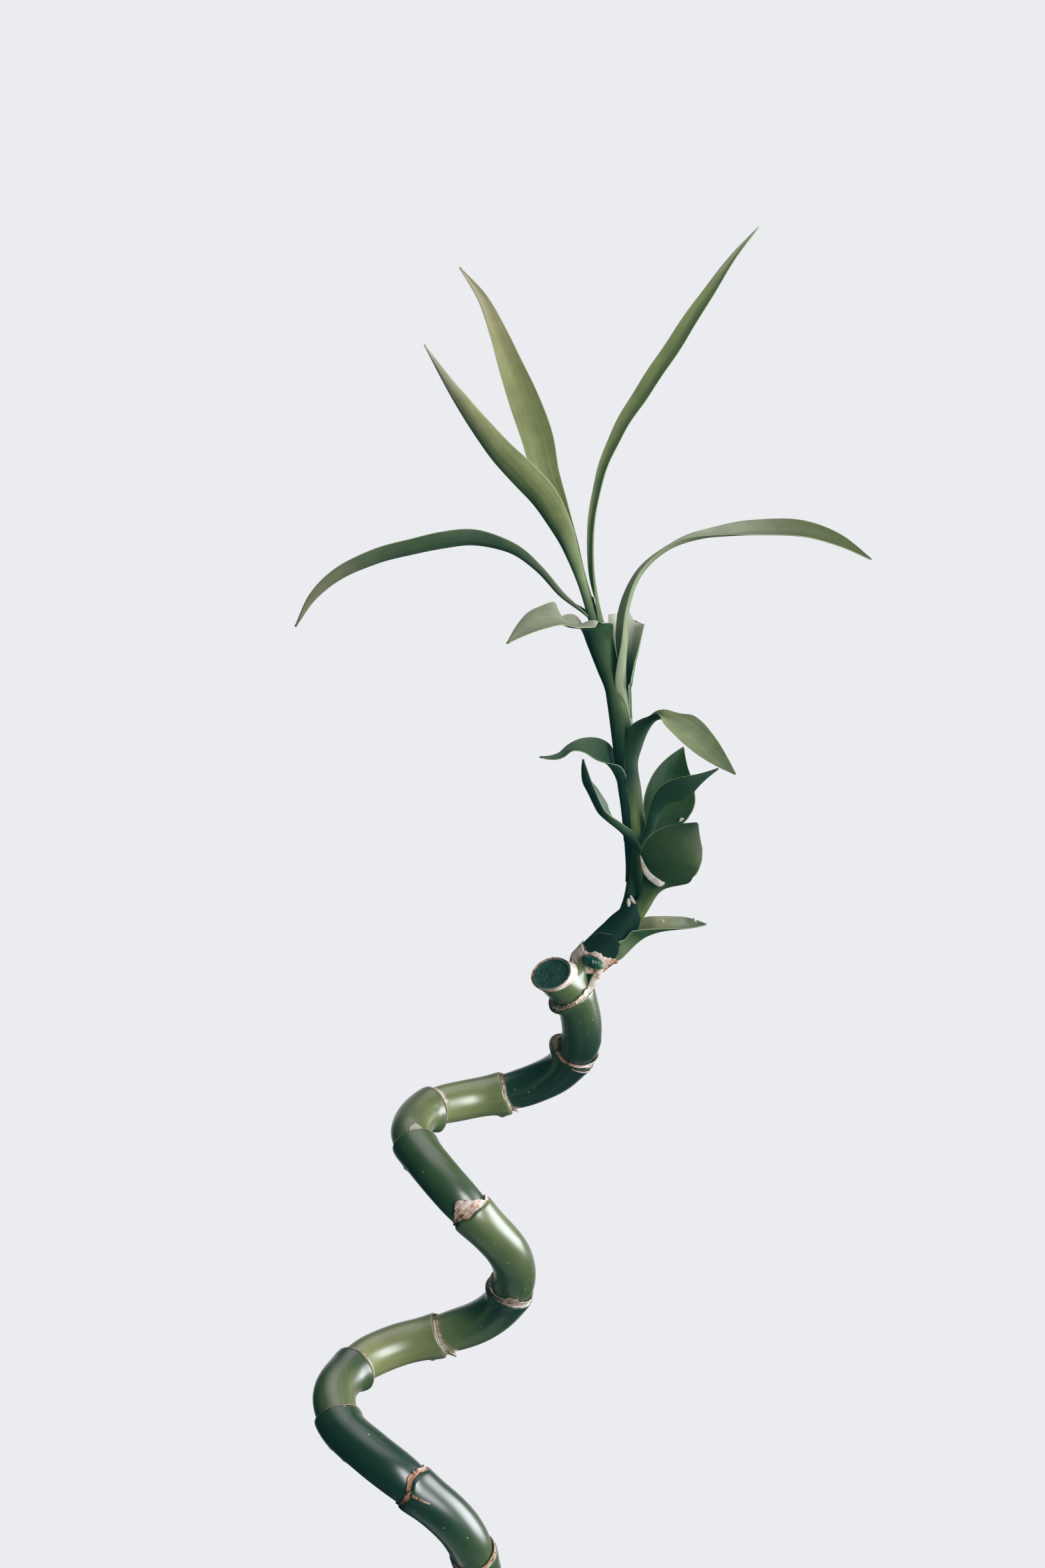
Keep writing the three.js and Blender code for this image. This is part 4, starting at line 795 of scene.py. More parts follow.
def leaf_skin(name, upper, under, light=None):
    """A living leaf: fine veins 0.9 mm apart run along it, the upper face has a soft gloss, the under face is
    paler and duller, and both margins have a thin pale line. upper and under are colours from the foot to the
    tip, with painted light and shade in them, and light is painted shade and light from one margin to the
    other, with 0.5 for no change."""
    material, tree, shader = new_finish(name)
    grain = kept(tree, "grain")
    # spot holds the place across, -1 to 1, the place along, 0 to 1, and the face, 1 to -1
    parts = parts_of(tree, kept(tree, "spot"))
    is_upper = ranged(tree, parts["Z"], -0.25, 0.25)
    under_face, upper_face = [shaded(tree, parts["Y"], evenly(colours)) for colours in (under, upper)]
    colour = mixed(tree, is_upper, under_face, upper_face)
    # painted shade on one side of the leaf and painted light on the other
    if light:
        colour = patterned(tree, colour, ranged(tree, parts["X"], -1.0, 1.0), evenly(light), 1.0)
    # veins 0.9 mm apart, much longer than wide
    veins = blots(tree, stretched(tree, grain, (1.1, 0.03, 1.0)), 1.0, 3.0)
    colour = patterned(tree, colour, veins, [(0.3, 0.4), (0.7, 0.6)], 0.55)
    # a soft mottle 4 mm across
    colour = patterned(tree, colour, blots(tree, grain, 0.25, 3.0), [(0.35, 0.43), (0.65, 0.57)], 0.5)
    across = add_node(tree, "ShaderNodeMath", {0: parts["X"]}, operation="ABSOLUTE").outputs[0]
    set_inputs(tree, shader, {
        "Base Color": mixed(tree, ranged(tree, across, 0.95, 1.0), colour, "#a9b48c"),
        "Roughness": ranged(tree, is_upper, 0.0, 1.0, 0.66, 0.5),
        "Normal": bumped(tree, veins, 0.5, 0.00015),
        "IOR": 1.42,
        "Specular IOR Level": 0.35,
    })
    return material


def bud_skin():
    """A dormant bud's scales: tight, hairless and very dark green, with a wet gloss, and a painted highlight
    that pales its tip.
    """
    material, tree, shader = new_finish("bud_skin")
    along = parts_of(tree, kept(tree, "spot"))["X"]
    # very dark green, paling towards the tip as a painted highlight
    greens = [(0.0, "#12332a"), (0.55, "#173b2d"), (0.8, "#3d6247"), (1.0, "#8a9a6c")]
    set_inputs(tree, shader, {"Base Color": shaded(tree, along, greens), "Roughness": 0.28})
    return material


def gloss_glaze():
    """Stoneware under a white gloss glaze, which pools a little and shows the thrower's faint rings."""
    material, tree, shader = new_finish("gloss_glaze")
    place = add_node(tree, "ShaderNodeTexCoord").outputs["Object"]
    # pooling about 40 mm across
    colour = shaded(tree, blots(tree, place, 25.0, 2.0), [(0.35, "#e6e3dc"), (0.65, "#f2f0ea")])
    # iron specks 0.5 mm wide
    colour = dotted(tree, colour, place, 180.0, [(0.05, 0.5), (0.08, 0.0)], "#a59c8c")
    # throwing rings 6 mm apart
    rings = blots(tree, stretched(tree, place, (4.0, 4.0, 160.0)), 1.0, 1.0)
    set_inputs(tree, shader, {
        "Base Color": colour, "Roughness": 0.12, "Normal": bumped(tree, rings, 0.35, 0.0004), "IOR": 1.5,
    })
    return material


def river_stone():
    """River pebbles: each its own grey, tan or white, finely speckled and worn smooth, a little damp."""
    material, tree, shader = new_finish("river_stone")
    grain = kept(tree, "grain")
    colour = shaded(tree, parts_of(tree, kept(tree, "spot"))["X"], [
        (0.0, "#6f6c66"), (0.25, "#8c857a"), (0.45, "#b7ab98"), (0.6, "#9b8f80"), (0.8, "#cbc4b6"),
        (1.0, "#5c5a57"),
    ])
    # speckle 0.8 mm wide
    speckle = blots(tree, grain, 1.3, 4.0)
    colour = patterned(tree, colour, speckle, [(0.35, 0.36), (0.65, 0.64)], 0.5)
    # bands about 5 mm wide
    colour = patterned(tree, colour, blots(tree, grain, 0.2, 2.0, 1.5), [(0.4, 0.42), (0.6, 0.58)], 0.6)
    set_inputs(tree, shader, {
        "Base Color": colour, "Roughness": 0.42, "Normal": bumped(tree, speckle, 0.3, 0.0002),
    })
    return material


def pale_seamless():
    """Seamless paper: matt and near white. It takes the vase's shadow close by, and glows evenly further off,
    where the photo's wall is overlit."""
    material = bpy.data.materials.new("pale_seamless")
    tree = bare_tree(material)
    place = add_node(tree, "ShaderNodeTexCoord").outputs["Object"]
    flat = add_node(tree, "ShaderNodeVectorMath", {0: place, 1: (1.0, 1.0, 0.6)}, operation="MULTIPLY")
    reach = add_node(tree, "ShaderNodeVectorMath", {0: flat.outputs[0]}, operation="LENGTH").outputs["Value"]
    share = ranged(tree, reach, 0.08, 0.45, interpolation_type="SMOOTHSTEP")
    paper = add_node(tree, "ShaderNodeBsdfDiffuse", {"Color": "#f0f1f4"}).outputs[0]
    glow = add_node(tree, "ShaderNodeEmission", {"Color": "#ebecf0", "Strength": 1.0}).outputs[0]
    both = add_node(tree, "ShaderNodeMixShader", {0: share, 1: paper, 2: glow}).outputs[0]
    add_node(tree, "ShaderNodeOutputMaterial", {"Surface": both})
    return material


# Cane

CANE = Course(CANE_LINE)
CUT_WAY = Vector(CUT_FACING).normalized()
LOST_LENGTH = 12  # of the last internode, which the cut took off
INTERNODE_ENDS = [0, *NODES, CANE.length + LOST_LENGTH]
WAY_REACH = 1.5  # to either side, over which the cane's direction is read
NODE_REACH = 16  # along the cane, to either side of a node
NODE_SWELL = 0.5  # how far the cane swells below a node
NODE_SWELL_LENGTH = 4.5  # over which the swelling dies away
NODE_WAIST = 0.38  # how far it draws in above a node
NODE_WAIST_LENGTH = 4.0
NODE_STEP = 0.3  # half the length of the step between the two
NODE_SLANT = (2, 10)  # from where to where, away from a node, the slant of its edge fades out
RIM_LENGTH = 3.6
RIM_EDGE = (-0.1, 0.35)  # from where to where past the node a rim drops off
BUMP_REACH = 4
CUT_NARROWING = 0.6  # how much the cane narrows towards the cut
CUT_NARROWING_LENGTH = 7
CUT_SLANT_LENGTH = 9  # over which the stations turn to the cut's slant
CUT_CLEAR = 4  # over which the nodes' slants fade out towards the cut
CUT_INSET = 0.15  # of the cut face's edge from the rind
# The cut face's rows: the share of the radius, and how far the row is sunk
CUT_ROWS = [(0.95, 0.0), (0.91, 0.3), (0.7, 0.4), (0.45, 0.45), (0.2, 0.4), (0.0, 0.4)]
CUT_UNEVEN = 0.9  # bumps to a millimetre
RIND_UNEVEN = 0.12  # height of the bumps on the rind and the cut
RIND_BUMP_WIDTH = 9
RIND_BUMP_LENGTH = 14
CANE_SIDES = 80
# Steps between the cane's stations: up to how far from a node or the cut, and how long
STATION_STEPS = [(0.8, 0.2), (6, 0.6), (100, 1.3)]
BURIED_LENGTH = 86  # of cane up to just above the pebbles, where few stations will do
BURIED_STEP = 4
# Where an internode's upper end stands out to one side as a rim: node, angle, height and spread in degrees
RIMS = [
    (240.1, 85, 0.9, 45), (298.2, -95, 1.2, 50), (390.2, 95, 1.3, 45), (411.2, 90, 0.5, 35),
    (440.2, -95, 2.2, 44), (265.1, 90, 0.4, 35), (467.7, -85, 1.5, 45),
]
# Old root bumps: place along the cane, angle, height and width
BUMPS = [
    (261.5, 96, 0.8, 0.9), (257.6, 100, 0.6, 0.7), (408.6, 92, 0.7, 1), (211.5, -92, 0.5, 1.4),
    (206.5, -88, 0.5, 1.2), (359.5, -88, 0.45, 0.9), (322, 60, 0.3, 0.6), (447, 70, 0.25, 0.9),
    (470, 90, 1.8, 2.4),
]


def near_nodes(s):
    """The numbers of the nodes that a place along the cane is near."""
    return [k for k, node in enumerate(NODES) if abs(s - node) < NODE_REACH]


def node_slant(k, s, angle):
    """How far the stations near node k move along the cane at an angle, to follow its husk's lower edge."""
    if k + 1 not in HUSKS:
        return 0.0
    return keyed(HUSKS[k + 1], angle)[0] * (1 - smooth(*NODE_SLANT, abs(s - NODES[k])))


def node_step(distance):
    """How the radius changes near a node: it swells up to it, steps in, and recovers above it."""
    below = NODE_SWELL * exp(-((distance / NODE_SWELL_LENGTH) ** 2))
    above = -NODE_WAIST * exp(-((distance / NODE_WAIST_LENGTH) ** 2))
    return below + (above - below) * smooth(-NODE_STEP, NODE_STEP, distance)


def rim_height(node, distance, angle):
    """How far an internode's upper end stands out as a rim, at a distance past its node."""
    height = 0.0
    for place, middle, rise, width in RIMS:
        if place == node:
            height += rise * exp(-((wrapped(angle - middle) / width) ** 2) - (distance / RIM_LENGTH) ** 2)
    return height * (1 - smooth(*RIM_EDGE, distance))


def bump_height(s, angle):
    """How far the old root bumps stand out of the rind."""
    height = 0.0
    for place, middle, rise, width in BUMPS:
        if abs(s - place) < BUMP_REACH:
            aside = radians(wrapped(angle - middle)) * CANE_RADIUS
            height += rise * exp(-(((s - place) ** 2 + aside ** 2) / width ** 2))
    return height


def cane_radius(s, angle):
    """The cane's radius at a place along it, at an angle from the front."""
    radius = CANE_RADIUS + (CANE_END_RADIUS - CANE_RADIUS) * smooth(TAPER_START, CANE.length, s)
    radius += bump_height(s, angle)
    radius -= CUT_NARROWING * smooth(CANE.length - CUT_NARROWING_LENGTH, CANE.length, s)
    for k in near_nodes(s):
        distance = s - NODES[k] - node_slant(k, s, angle)
        radius += node_step(distance) + rim_height(NODES[k], distance, angle)
    return radius


def cut_shift(angle):
    """How far past the centre line's end the slanting cut lies at an angle."""
    way = CANE.way(CANE.length, WAY_REACH)
    return -(facing(way, angle) * CANE_END_RADIUS).dot(CUT_WAY) / way.dot(CUT_WAY)


def on_cane(s, angle, lift=0.0):
    """A point over the cane's surface, at an angle from the front."""
    way = CANE.way(s, WAY_REACH)
    past = max(0.0, s - CANE.length)
    return CANE.point(s) + way * past + facing(way, angle) * (cane_radius(s, angle) + lift)


def by_the_cut(s, angle, lift=0.0):
    """A point over the cane's surface, counted from the edge of the slanting cut."""
    return on_cane(s + cut_shift(angle), angle, lift)


def on_cut(direction, angle, share_out, sunk):
    """A point of the cut face in a direction from its middle, with its spot and its grain."""
    way = CANE.way(CANE.length, WAY_REACH)
    edge = direction * (cane_radius(CANE.length, angle) - CUT_INSET) + way * cut_shift(angle)
    uneven = RIND_UNEVEN * noise.noise(edge * CUT_UNEVEN) * (1 - share_out)
    point = CANE.point(CANE.length) + edge * share_out - CUT_WAY * (sunk + uneven)
    return point, Vector((0, 0, 1)), edge * share_out


def cane_stations():
    """Stations along the cane: close together at the nodes and at the cut."""
    marks = [0.0]
    while marks[-1] < CANE.length:
        s = marks[-1]
        near = min(min(abs(s - node) for node in NODES), CANE.length - s)
        step = next(step for reach, step in STATION_STEPS if near < reach)
        marks.append(s + (step if s > BURIED_LENGTH else BURIED_STEP))
    marks[-1] = CANE.length
    return marks


def rind_spot(s):
    """How pale the rind is at a place along the cane, painted shade and light included, and what share of its
    internode is passed.
    """
    k = max(n for n in range(len(INTERNODE_ENDS) - 1) if INTERNODE_ENDS[n] <= s + 0.05)
    share = (s - INTERNODE_ENDS[k]) / (INTERNODE_ENDS[k + 1] - INTERNODE_ENDS[k])
    above, below = RIND_SHADES_AND_PAINTED_LIGHT[k]
    return Vector((above + (below - above) * share, share, 0))


def make_cane():
    """The cane's rind and its cut face, as one skin."""
    marks = cane_stations()
    ways = [CANE.way(s, WAY_REACH) for s in marks]
    across = carried(ways)

    def place(i, j):
        share_out, sunk = CUT_ROWS[j - len(marks)] if j >= len(marks) else (1.0, 0.0)
        j = min(j, len(marks) - 1)
        mark, way, side = marks[j], ways[j], across[j]
        turn = 2 * pi * (i % CANE_SIDES) / CANE_SIDES
        direction = side * cos(turn) + way.cross(side) * sin(turn)
        angle = angle_of(direction, way)
        if share_out < 1:
            return on_cut(direction, angle, share_out, sunk)
        slant = sum(node_slant(k, mark, angle) for k in near_nodes(mark))
        left = CANE.length - mark
        s = mark + slant * smooth(0, CUT_CLEAR, left)
        s += cut_shift(angle) * (1 - smooth(0, CUT_SLANT_LENGTH, left))
        grain = Vector((CANE_RADIUS * cos(turn), CANE_RADIUS * sin(turn), mark))
        bump = Vector((grain.x / RIND_BUMP_WIDTH, grain.y / RIND_BUMP_WIDTH, mark / RIND_BUMP_LENGTH))
        radius = cane_radius(s, angle) + RIND_UNEVEN * noise.noise(bump)
        point = CANE.point(s) + way * max(0.0, s - CANE.length) + direction * radius
        return point, rind_spot(mark), grain

    shape = bent_grid(CANE_SIDES, len(marks) + len(CUT_ROWS) - 1, place)
    spot = shape.verts.layers.float_vector["spot"]
    for face in shape.faces:
        if all(vert[spot].z > 0.5 for vert in face.verts):
            face.material_index = 1
    new_piece("cane_fine", shape, [cane_rind(), cut_fibres()], ["cane"])


# Husks

HUSK_OUTER = 9  # points over a husk's outer side
HUSK_AROUND = 14  # and round its whole section
HUSK_STATIONS = 220
SCRAP_STATIONS = 60
HUSK_THICKNESS = 0.2
HUSK_BED = 0.06  # how far a husk lies off the cane at its foot
HUSK_FLARE = 1.6  # how late a husk curls away from the cane
HUSK_RUFFLE = 0.12
HUSK_BACK = -0.02  # how far the inner side starts below the sheet at the torn edge
TEAR_TONE = 0.12  # how much paler the long tatters are
FINE_TEAR_SHARE = 0.6
FOOT_TEAR_SHARE = 0.25
# How many degrees apart a husk's tears and ruffles are
COARSE_TEAR = 9
FINE_TEAR = 3.2
FOOT_TEAR = 5
RUFFLE_PITCH = 6
RAGGED = {9: 0.3, 10: 0.4, 11: 0.22, 16: 0.35}  # the husks that are torn more than the others
WEATHERED = (7, 12)  # the husks that have gone grey
RIBBON_AROUND = 12
RIBBON_STEP = 0.4
RIBBON_THICKNESS = 0.25
RIBBON_CURL = 0.3  # how far its middle stands out, in shares of its half width
RIBBON_TEAR = 0.18  # how far its margins wander, in shares of the same


def make_husk(name, surface, start, rows, finish, replaced=(), ragged=0.15, closed=True):
    """A thin dry strip round the cane or the shoot, rooted at its lower edge and torn at its upper one."""
    stations = HUSK_STATIONS if closed else SCRAP_STATIONS
    first, last = (-180, 180) if closed else (rows[0][0], rows[-1][0])
    seed = start * 7.3

    def wander(angle, pitch, row):
        return noise.noise(Vector((angle / pitch, seed, row)))

    def place(i, j):
        i = i % HUSK_AROUND
        angle = first + (last - first) * (j % stations if closed else j) / stations
        low, high, stand, tone = keyed(rows, angle)
        width = high - low
        tear = wander(angle, COARSE_TEAR, 0) + FINE_TEAR_SHARE * wander(angle, FINE_TEAR, 9)
        high += ragged * tear * min(1.5, width)
        low += FOOT_TEAR_SHARE * ragged * wander(angle, FOOT_TEAR, 4) * min(1.0, width)
        if i < HUSK_OUTER:
            share = i / (HUSK_OUTER - 1)
            thick = HUSK_THICKNESS
        else:
            share = (HUSK_AROUND - i - 0.5) / (HUSK_AROUND - HUSK_OUTER)
            thick = HUSK_BACK - HUSK_THICKNESS * (1 - share)
        s = start + low + (high - low) * share
        ruffle = HUSK_RUFFLE * stand * noise.noise(Vector((angle / RUFFLE_PITCH, s, seed)))
        lift = HUSK_BED + stand * share ** HUSK_FLARE + ruffle + thick
        spot = Vector((tone + TEAR_TONE * tear, share, 0))
        return surface(s, angle, lift), spot, Vector((radians(angle) * CANE_RADIUS, s, seed))

    shape = bent_grid(HUSK_AROUND, stations, place, loop=closed)
    new_piece(name, shape, [finish], replaced)


def make_ribbon(name, rows, finish, tone):
    """A narrow dry strip along rows of x, y, z and half width, with its face to the front."""
    line = Course(rows)
    stations = max(12, round(line.length / RIBBON_STEP))

    def place(i, j):
        s = line.length * j / stations
        *middle, half = line.at(s)
        way = line.way(s, RIBBON_STEP)
        front = facing(way, 0)
        turn = 2 * pi * (i % RIBBON_AROUND) / RIBBON_AROUND
        across = cos(turn)
        ragged = RIBBON_TEAR * half * noise.noise(Vector((s * 1.7, across, tone * 9)))
        bend = RIBBON_CURL * (1 - across * across) * half + RIBBON_THICKNESS / 2 * sin(turn)
        point = Vector(middle) + way.cross(front) * (across * half + ragged) + front * bend
        return point, Vector((tone, s / line.length, 0)), Vector((across * half, s, tone))

    shape = bent_grid(RIBBON_AROUND, stations, place)
    new_piece(name, shape, [finish])


def make_husks():
    """The rings on the nodes, the smaller dry pieces, and the collar."""
    tan, grey = dry_husk("dry_husk"), dry_husk("weathered_husk", 0.55)
    for number, rows in HUSKS.items():
        name = f"node_ring_{number:02d}"
        finish = grey if number in WEATHERED else tan
        ragged = RAGGED.get(number, 0.15)
        make_husk(name + "_fine", on_cane, NODES[number - 1], rows, finish, replaced=[name], ragged=ragged)
    make_husk("husk_branch", on_cane, NODES[5], HUSK_BRANCH, tan, closed=False)
    make_husk("second_torn_edge", on_cane, NODES[14], SECOND_EDGE, tan, closed=False, ragged=0.3)
    make_husk("rim_under_cut", by_the_cut, CANE.length, CUT_RIM, tan, ragged=0.12)
    make_ribbon("strip_under_collar", COLLAR_STRIP, tan, 0.85)
    dried = dry_husk("dried_margin", 0.4)
    for number, rows in enumerate(DRIED_SCRAPS, 1):
        make_ribbon(f"dried_scrap_{number}", rows, dried, 1.0)
    make_husk("shoot_collar_fine", over_scales, 0, COLLAR, tan, ["shoot_collar"], ragged=0.2)


# Shoot

SHOOT = Course(SHOOT_LINE)
SHOOT_SIDES = 36
SHOOT_STATIONS = 160
SHOOT_TONES = ["#1f3826", "#2c4630", "#48603a", "#5a7048"]
BUD_EDGES = (-0.1, 0.5)  # where the edges of the bud's scales cross its axis, in shares of its half length
BUD_EDGE_SLANT = 0.35
BUD_EDGE_HEIGHT = 0.12
BUD_EDGE_WIDTH = 0.07
BUD_TAPER = 0.12


def on_shoot(s, angle, lift=0.0):
    """A point over the shoot's core, at an angle from the front."""
    core = SHOOT.at(s)
    return Vector(core[:3]) + facing(SHOOT.way(s), angle) * (core[3] + lift)


def over_scales(s, angle, lift=0.0):
    """A point over the scales that sheathe the shoot's foot."""
    return on_shoot(s, angle, lift + keyed(COLLAR_OFFSET, angle)[0])


def make_shoot():
    """The shoot's core, with the swelling at its foot."""
    def place(i, j):
        s = SHOOT.length * j / SHOOT_STATIONS
        angle = 360 * (i % SHOOT_SIDES) / SHOOT_SIDES
        radius = SHOOT.at(s)[3]
        grain = Vector((radius * cos(radians(angle)), radius * sin(radians(angle)), s))
        return on_shoot(s, angle), Vector((0, j / SHOOT_STATIONS, -1)), grain

    shape = bent_grid(SHOOT_SIDES, SHOOT_STATIONS, place)
    spot, grain = [shape.verts.layers.float_vector[name] for name in ("spot", "grain")]
    for vert in bmesh.ops.create_icosphere(shape, subdivisions=4, radius=SWELLING_RADIUS)["verts"]:
        vert.co += Vector(SWELLING_CENTRE)
        vert[spot] = (0, 0, -1)
        vert[grain] = vert.co
    rind = leaf_skin("shoot_rind", SHOOT_TONES, SHOOT_TONES)
    new_piece("shoot_stem_fine", shape, [rind], ["shoot_stem"])


def make_bud():
    """The dormant bud in the collar: an egg that leans down to the right, with the edges of two scales."""
    shape = bmesh.new()
    spot = shape.verts.layers.float_vector.new("spot")
    shape.verts.layers.float_vector.new("grain")
    bmesh.ops.create_icosphere(shape, subdivisions=5, radius=1.0)
    lean = Matrix.Rotation(radians(BUD_LEAN), 3, "Y")
    for vert in shape.verts:
        unit = vert.co.copy()
        along = 0.5 + 0.5 * unit.x
        # the scales' edges run slantwise round the egg
        edges = [(unit.x + BUD_EDGE_SLANT * unit.z - place) / BUD_EDGE_WIDTH for place in BUD_EDGES]
        ridge = sum(BUD_EDGE_HEIGHT * exp(-(away ** 2)) for away in edges)
        length, depth, height = BUD_SIZE
        taper = 1 - BUD_TAPER * along
        egg = Vector((unit.x * length, unit.y * (depth * taper + ridge), unit.z * (height * taper + ridge)))
        vert.co = lean @ egg + Vector(BUD_CENTRE)
        vert[spot] = (along, 0, 0)
    new_piece("bud_fine", shape, [bud_skin()], ["bud"])


# Leaves

ROOT_ROWS = 5
SHEATH_ROWS = 4
FREE_ROWS = 10
NARROWEST = 0.25  # half width that a leaf keeps at its tip
FLATTEST = 8  # half the angle, in degrees, that the flattest section curls through
FREE = (0.1, 0.4)  # from where to where, in shares of the length, a leaf comes free of its sheath
RIB_FOLD = 0.1  # how far a leaf is folded along its rib, in shares of its half width
RIB_FOLD_WIDTH = 0.1  # how much of the half width the fold's bend takes
RIPPLE = 0.12
RIPPLE_LENGTH = 3.1  # a whole ripple is 2 pi times as long
LEAF_AROUND = 40  # points round one section, upper face and under face
LEAF_STEP = 0.9
LEAF_FEWEST_STATIONS = 40
LEAF_HALF_THICKNESS = 0.22
LEAF_EDGE = 0.02  # half thickness of a margin
LEAF_FULLNESS = 0.7  # below 1, the section stays thick almost to its margins


def sheath_row(s, azimuth, wrap, offset):
    """The row of a leaf where it lies round the shoot."""
    core = SHOOT.at(s)
    inward = facing(SHOOT.way(s), azimuth + 180)
    radius = core[3] + offset
    return [*(Vector(core[:3]) - inward * radius), *inward, radius * radians(wrap), wrap]


def leaf_rows(leaf):
    """Rows x, y, z, upper face's direction, half width and cup angle, from a leaf's foot to its tip."""
    rows = []
    if "root" in leaf:
        length, *lowest = leaf["root"]
        foot = [leaf[key][0] for key in ("azimuth", "wrap", "offset")]
        for i in range(ROOT_ROWS):
            u = i / ROOT_ROWS
            shape = [a + (b - a) * u for a, b in zip(lowest, foot)]
            rows.append(sheath_row(leaf["foot"] - length * (1 - u), *shape))
    sheath = SHEATH_ROWS if "rib" in leaf else 2 * SHEATH_ROWS
    for i in range(sheath):
        u = i / (sheath - 1)
        shape = [spread(leaf[key], u) for key in ("azimuth", "wrap", "offset")]
        rows.append(sheath_row(leaf["foot"] + leaf["reach"] * u, *shape))
    if "rib" not in leaf:
        return rows
    line = Course([rows[-1][:3], *leaf["rib"]])
    for i in range(1, FREE_ROWS + 1):
        u = i / FREE_ROWS
        s = line.length * u
        upper = facing(line.way(s), spread(leaf["face"], u))
        rows.append([*line.point(s), *upper, spread(leaf["half"], u), spread(leaf["cup"], u)])
    return rows


class Blade:
    """A leaf's curved sheet: points over it by the share across, -1 to 1, and the distance along."""

    def __init__(self, leaf):
        self.course = Course(leaf_rows(leaf), 12)
        self.length = self.course.length
        self.root = leaf["root"][0] if "root" in leaf else 0.0
        self.leaf = leaf

    def share(self, s):
        """The share of the length past the root."""
        return (s - self.root) / (self.length - self.root)

    def half(self, s):
        """The half width as the leaf's rows give it."""
        return self.course.at(s)[6]

    def section(self, s):
        """The rib's point, the way along, the upper face's direction, the half width and the cup."""
        row = self.course.at(s)
        way = self.course.way(s, 1.0)
        upper = Vector(row[3:6])
        upper = (upper - way * upper.dot(way)).normalized()
        return Vector(row[:3]), way, upper, max(NARROWEST, row[6]), radians(max(FLATTEST, row[7]))

    def point(self, across, s, lift):
        """A point lifted off the sheet towards its upper face."""
        if "rim" in self.leaf:
            s += between(self.leaf["rim"], across) * smooth(self.root, self.length, s)
        rib, way, upper, half, cup = self.section(s)
        radius = half / cup
        side = self.leaf.get("low" if across < 0 else "high", [(0, 0)])
        turn = cup * across * (1 + between(side, self.share(s)) * abs(across))
        outward = way.cross(upper) * sin(turn) - upper * cos(turn)
        free = smooth(*FREE, self.share(s))
        fold = RIB_FOLD * half * (sqrt(across * across + RIB_FOLD_WIDTH ** 2) - RIB_FOLD_WIDTH) * free
        ripple = RIPPLE * across * sin(s / RIPPLE_LENGTH + 2 * across + half) * free
        point = rib + upper * (radius + fold + ripple) + outward * (radius - lift)
        if across < 0 and "pull" in self.leaf:
            rows = self.leaf["pull"]
            shift = [between([(row[0], row[k]) for row in rows], self.share(s)) for k in (1, 2)]
            point += Vector((shift[0], 0, shift[1])) * across * across
        return point


def make_leaf(name, leaf):
    """One leaf or scale, as a closed skin round its curved sheet."""
    blade = Blade(leaf)
    stations = max(LEAF_FEWEST_STATIONS, round(blade.length / LEAF_STEP))

    def place(i, j):
        turn = 2 * pi * (i % LEAF_AROUND) / LEAF_AROUND
        across = cos(turn)
        s = blade.length * j / stations
        lift = LEAF_HALF_THICKNESS * abs(sin(turn)) ** LEAF_FULLNESS + LEAF_EDGE
        point = blade.point(across, s, lift if sin(turn) >= 0 else -lift)
        return point, Vector((across, s / blade.length, sin(turn))), Vector((across * blade.half(s), s, 0))

    shape = bent_grid(LEAF_AROUND, stations, place)
    skin = leaf_skin("skin_of_" + name, *LEAF_TONES_WITH_PAINTED_LIGHT[name])
    new_piece(name + "_fine", shape, [skin], [name])


# Vase and pebbles

# The outline of the vase's foot: how far in from the foot's radius, and how high
FOOT_OUTLINE = [(7, 0.9), (6.2, 0), (2.2, 0), (0.9, 0.4), (0.2, 1.4)]
OUTER_STEP = 3  # from one ring of the wall to the next, outside
INNER_STEP = 6  # and inside
LIP_HEIGHT = 2.3
LIP_STEPS = 12
VASE_CORNER = 3  # how far the floor's edge lies in from the wall
VASE_CORNER_HEIGHT = 4  # how far above the floor the inner wall's rings end
VASE_SIDES = 128
VASE_SEAM = 0.001
PEBBLE_CLEAR = 0.3  # from the wall
PEBBLE_PITCH = 17  # from one pebble to the next round a ring
PEBBLE_RINGS = 3
RING_PITCH = 12.6
OUTER_RING_INSET = 5.4
PEBBLE_OVERLAP = 0.12  # how far past that clearance a pebble's width may reach, in shares of its size
PEBBLE_LUMPS = [(0.14, 0.9), (0.03, 3)]  # height and fineness of a pebble's lumps
PEBBLE_SEED = 71
PEBBLE_SIZES = (0.85, 1.15)  # shares of the plain radius
PEBBLE_WIDTHS = (0.85, 1)  # shares of the size
PEBBLE_HEIGHTS = (0.62, 0.82)
PEBBLE_TILTS = (-0.25, 0.25)  # in radians
PEBBLE_LEVELS = (-2.2, -0.2)  # from the pebbles' top
PEBBLE_STRAY = (0, 0.35)  # how far a pebble strays round its ring, in shares of the way to the next
DRAW_FACTOR = 16807  # from one number of a draw to the next
DRAW_RANGE = 2147483647
BED_DROP = 4  # from the pebbles' top to the bed that is seen between them
BED_CLEAR = 0.4
BED_SIDES = 96
BED_KIND = 0.97


def vase_radius(z):
    """The vase's outer radius at a height."""
    return VASE_FOOT_RADIUS + (VASE_RIM_RADIUS - VASE_FOOT_RADIUS) * z / VASE_HEIGHT


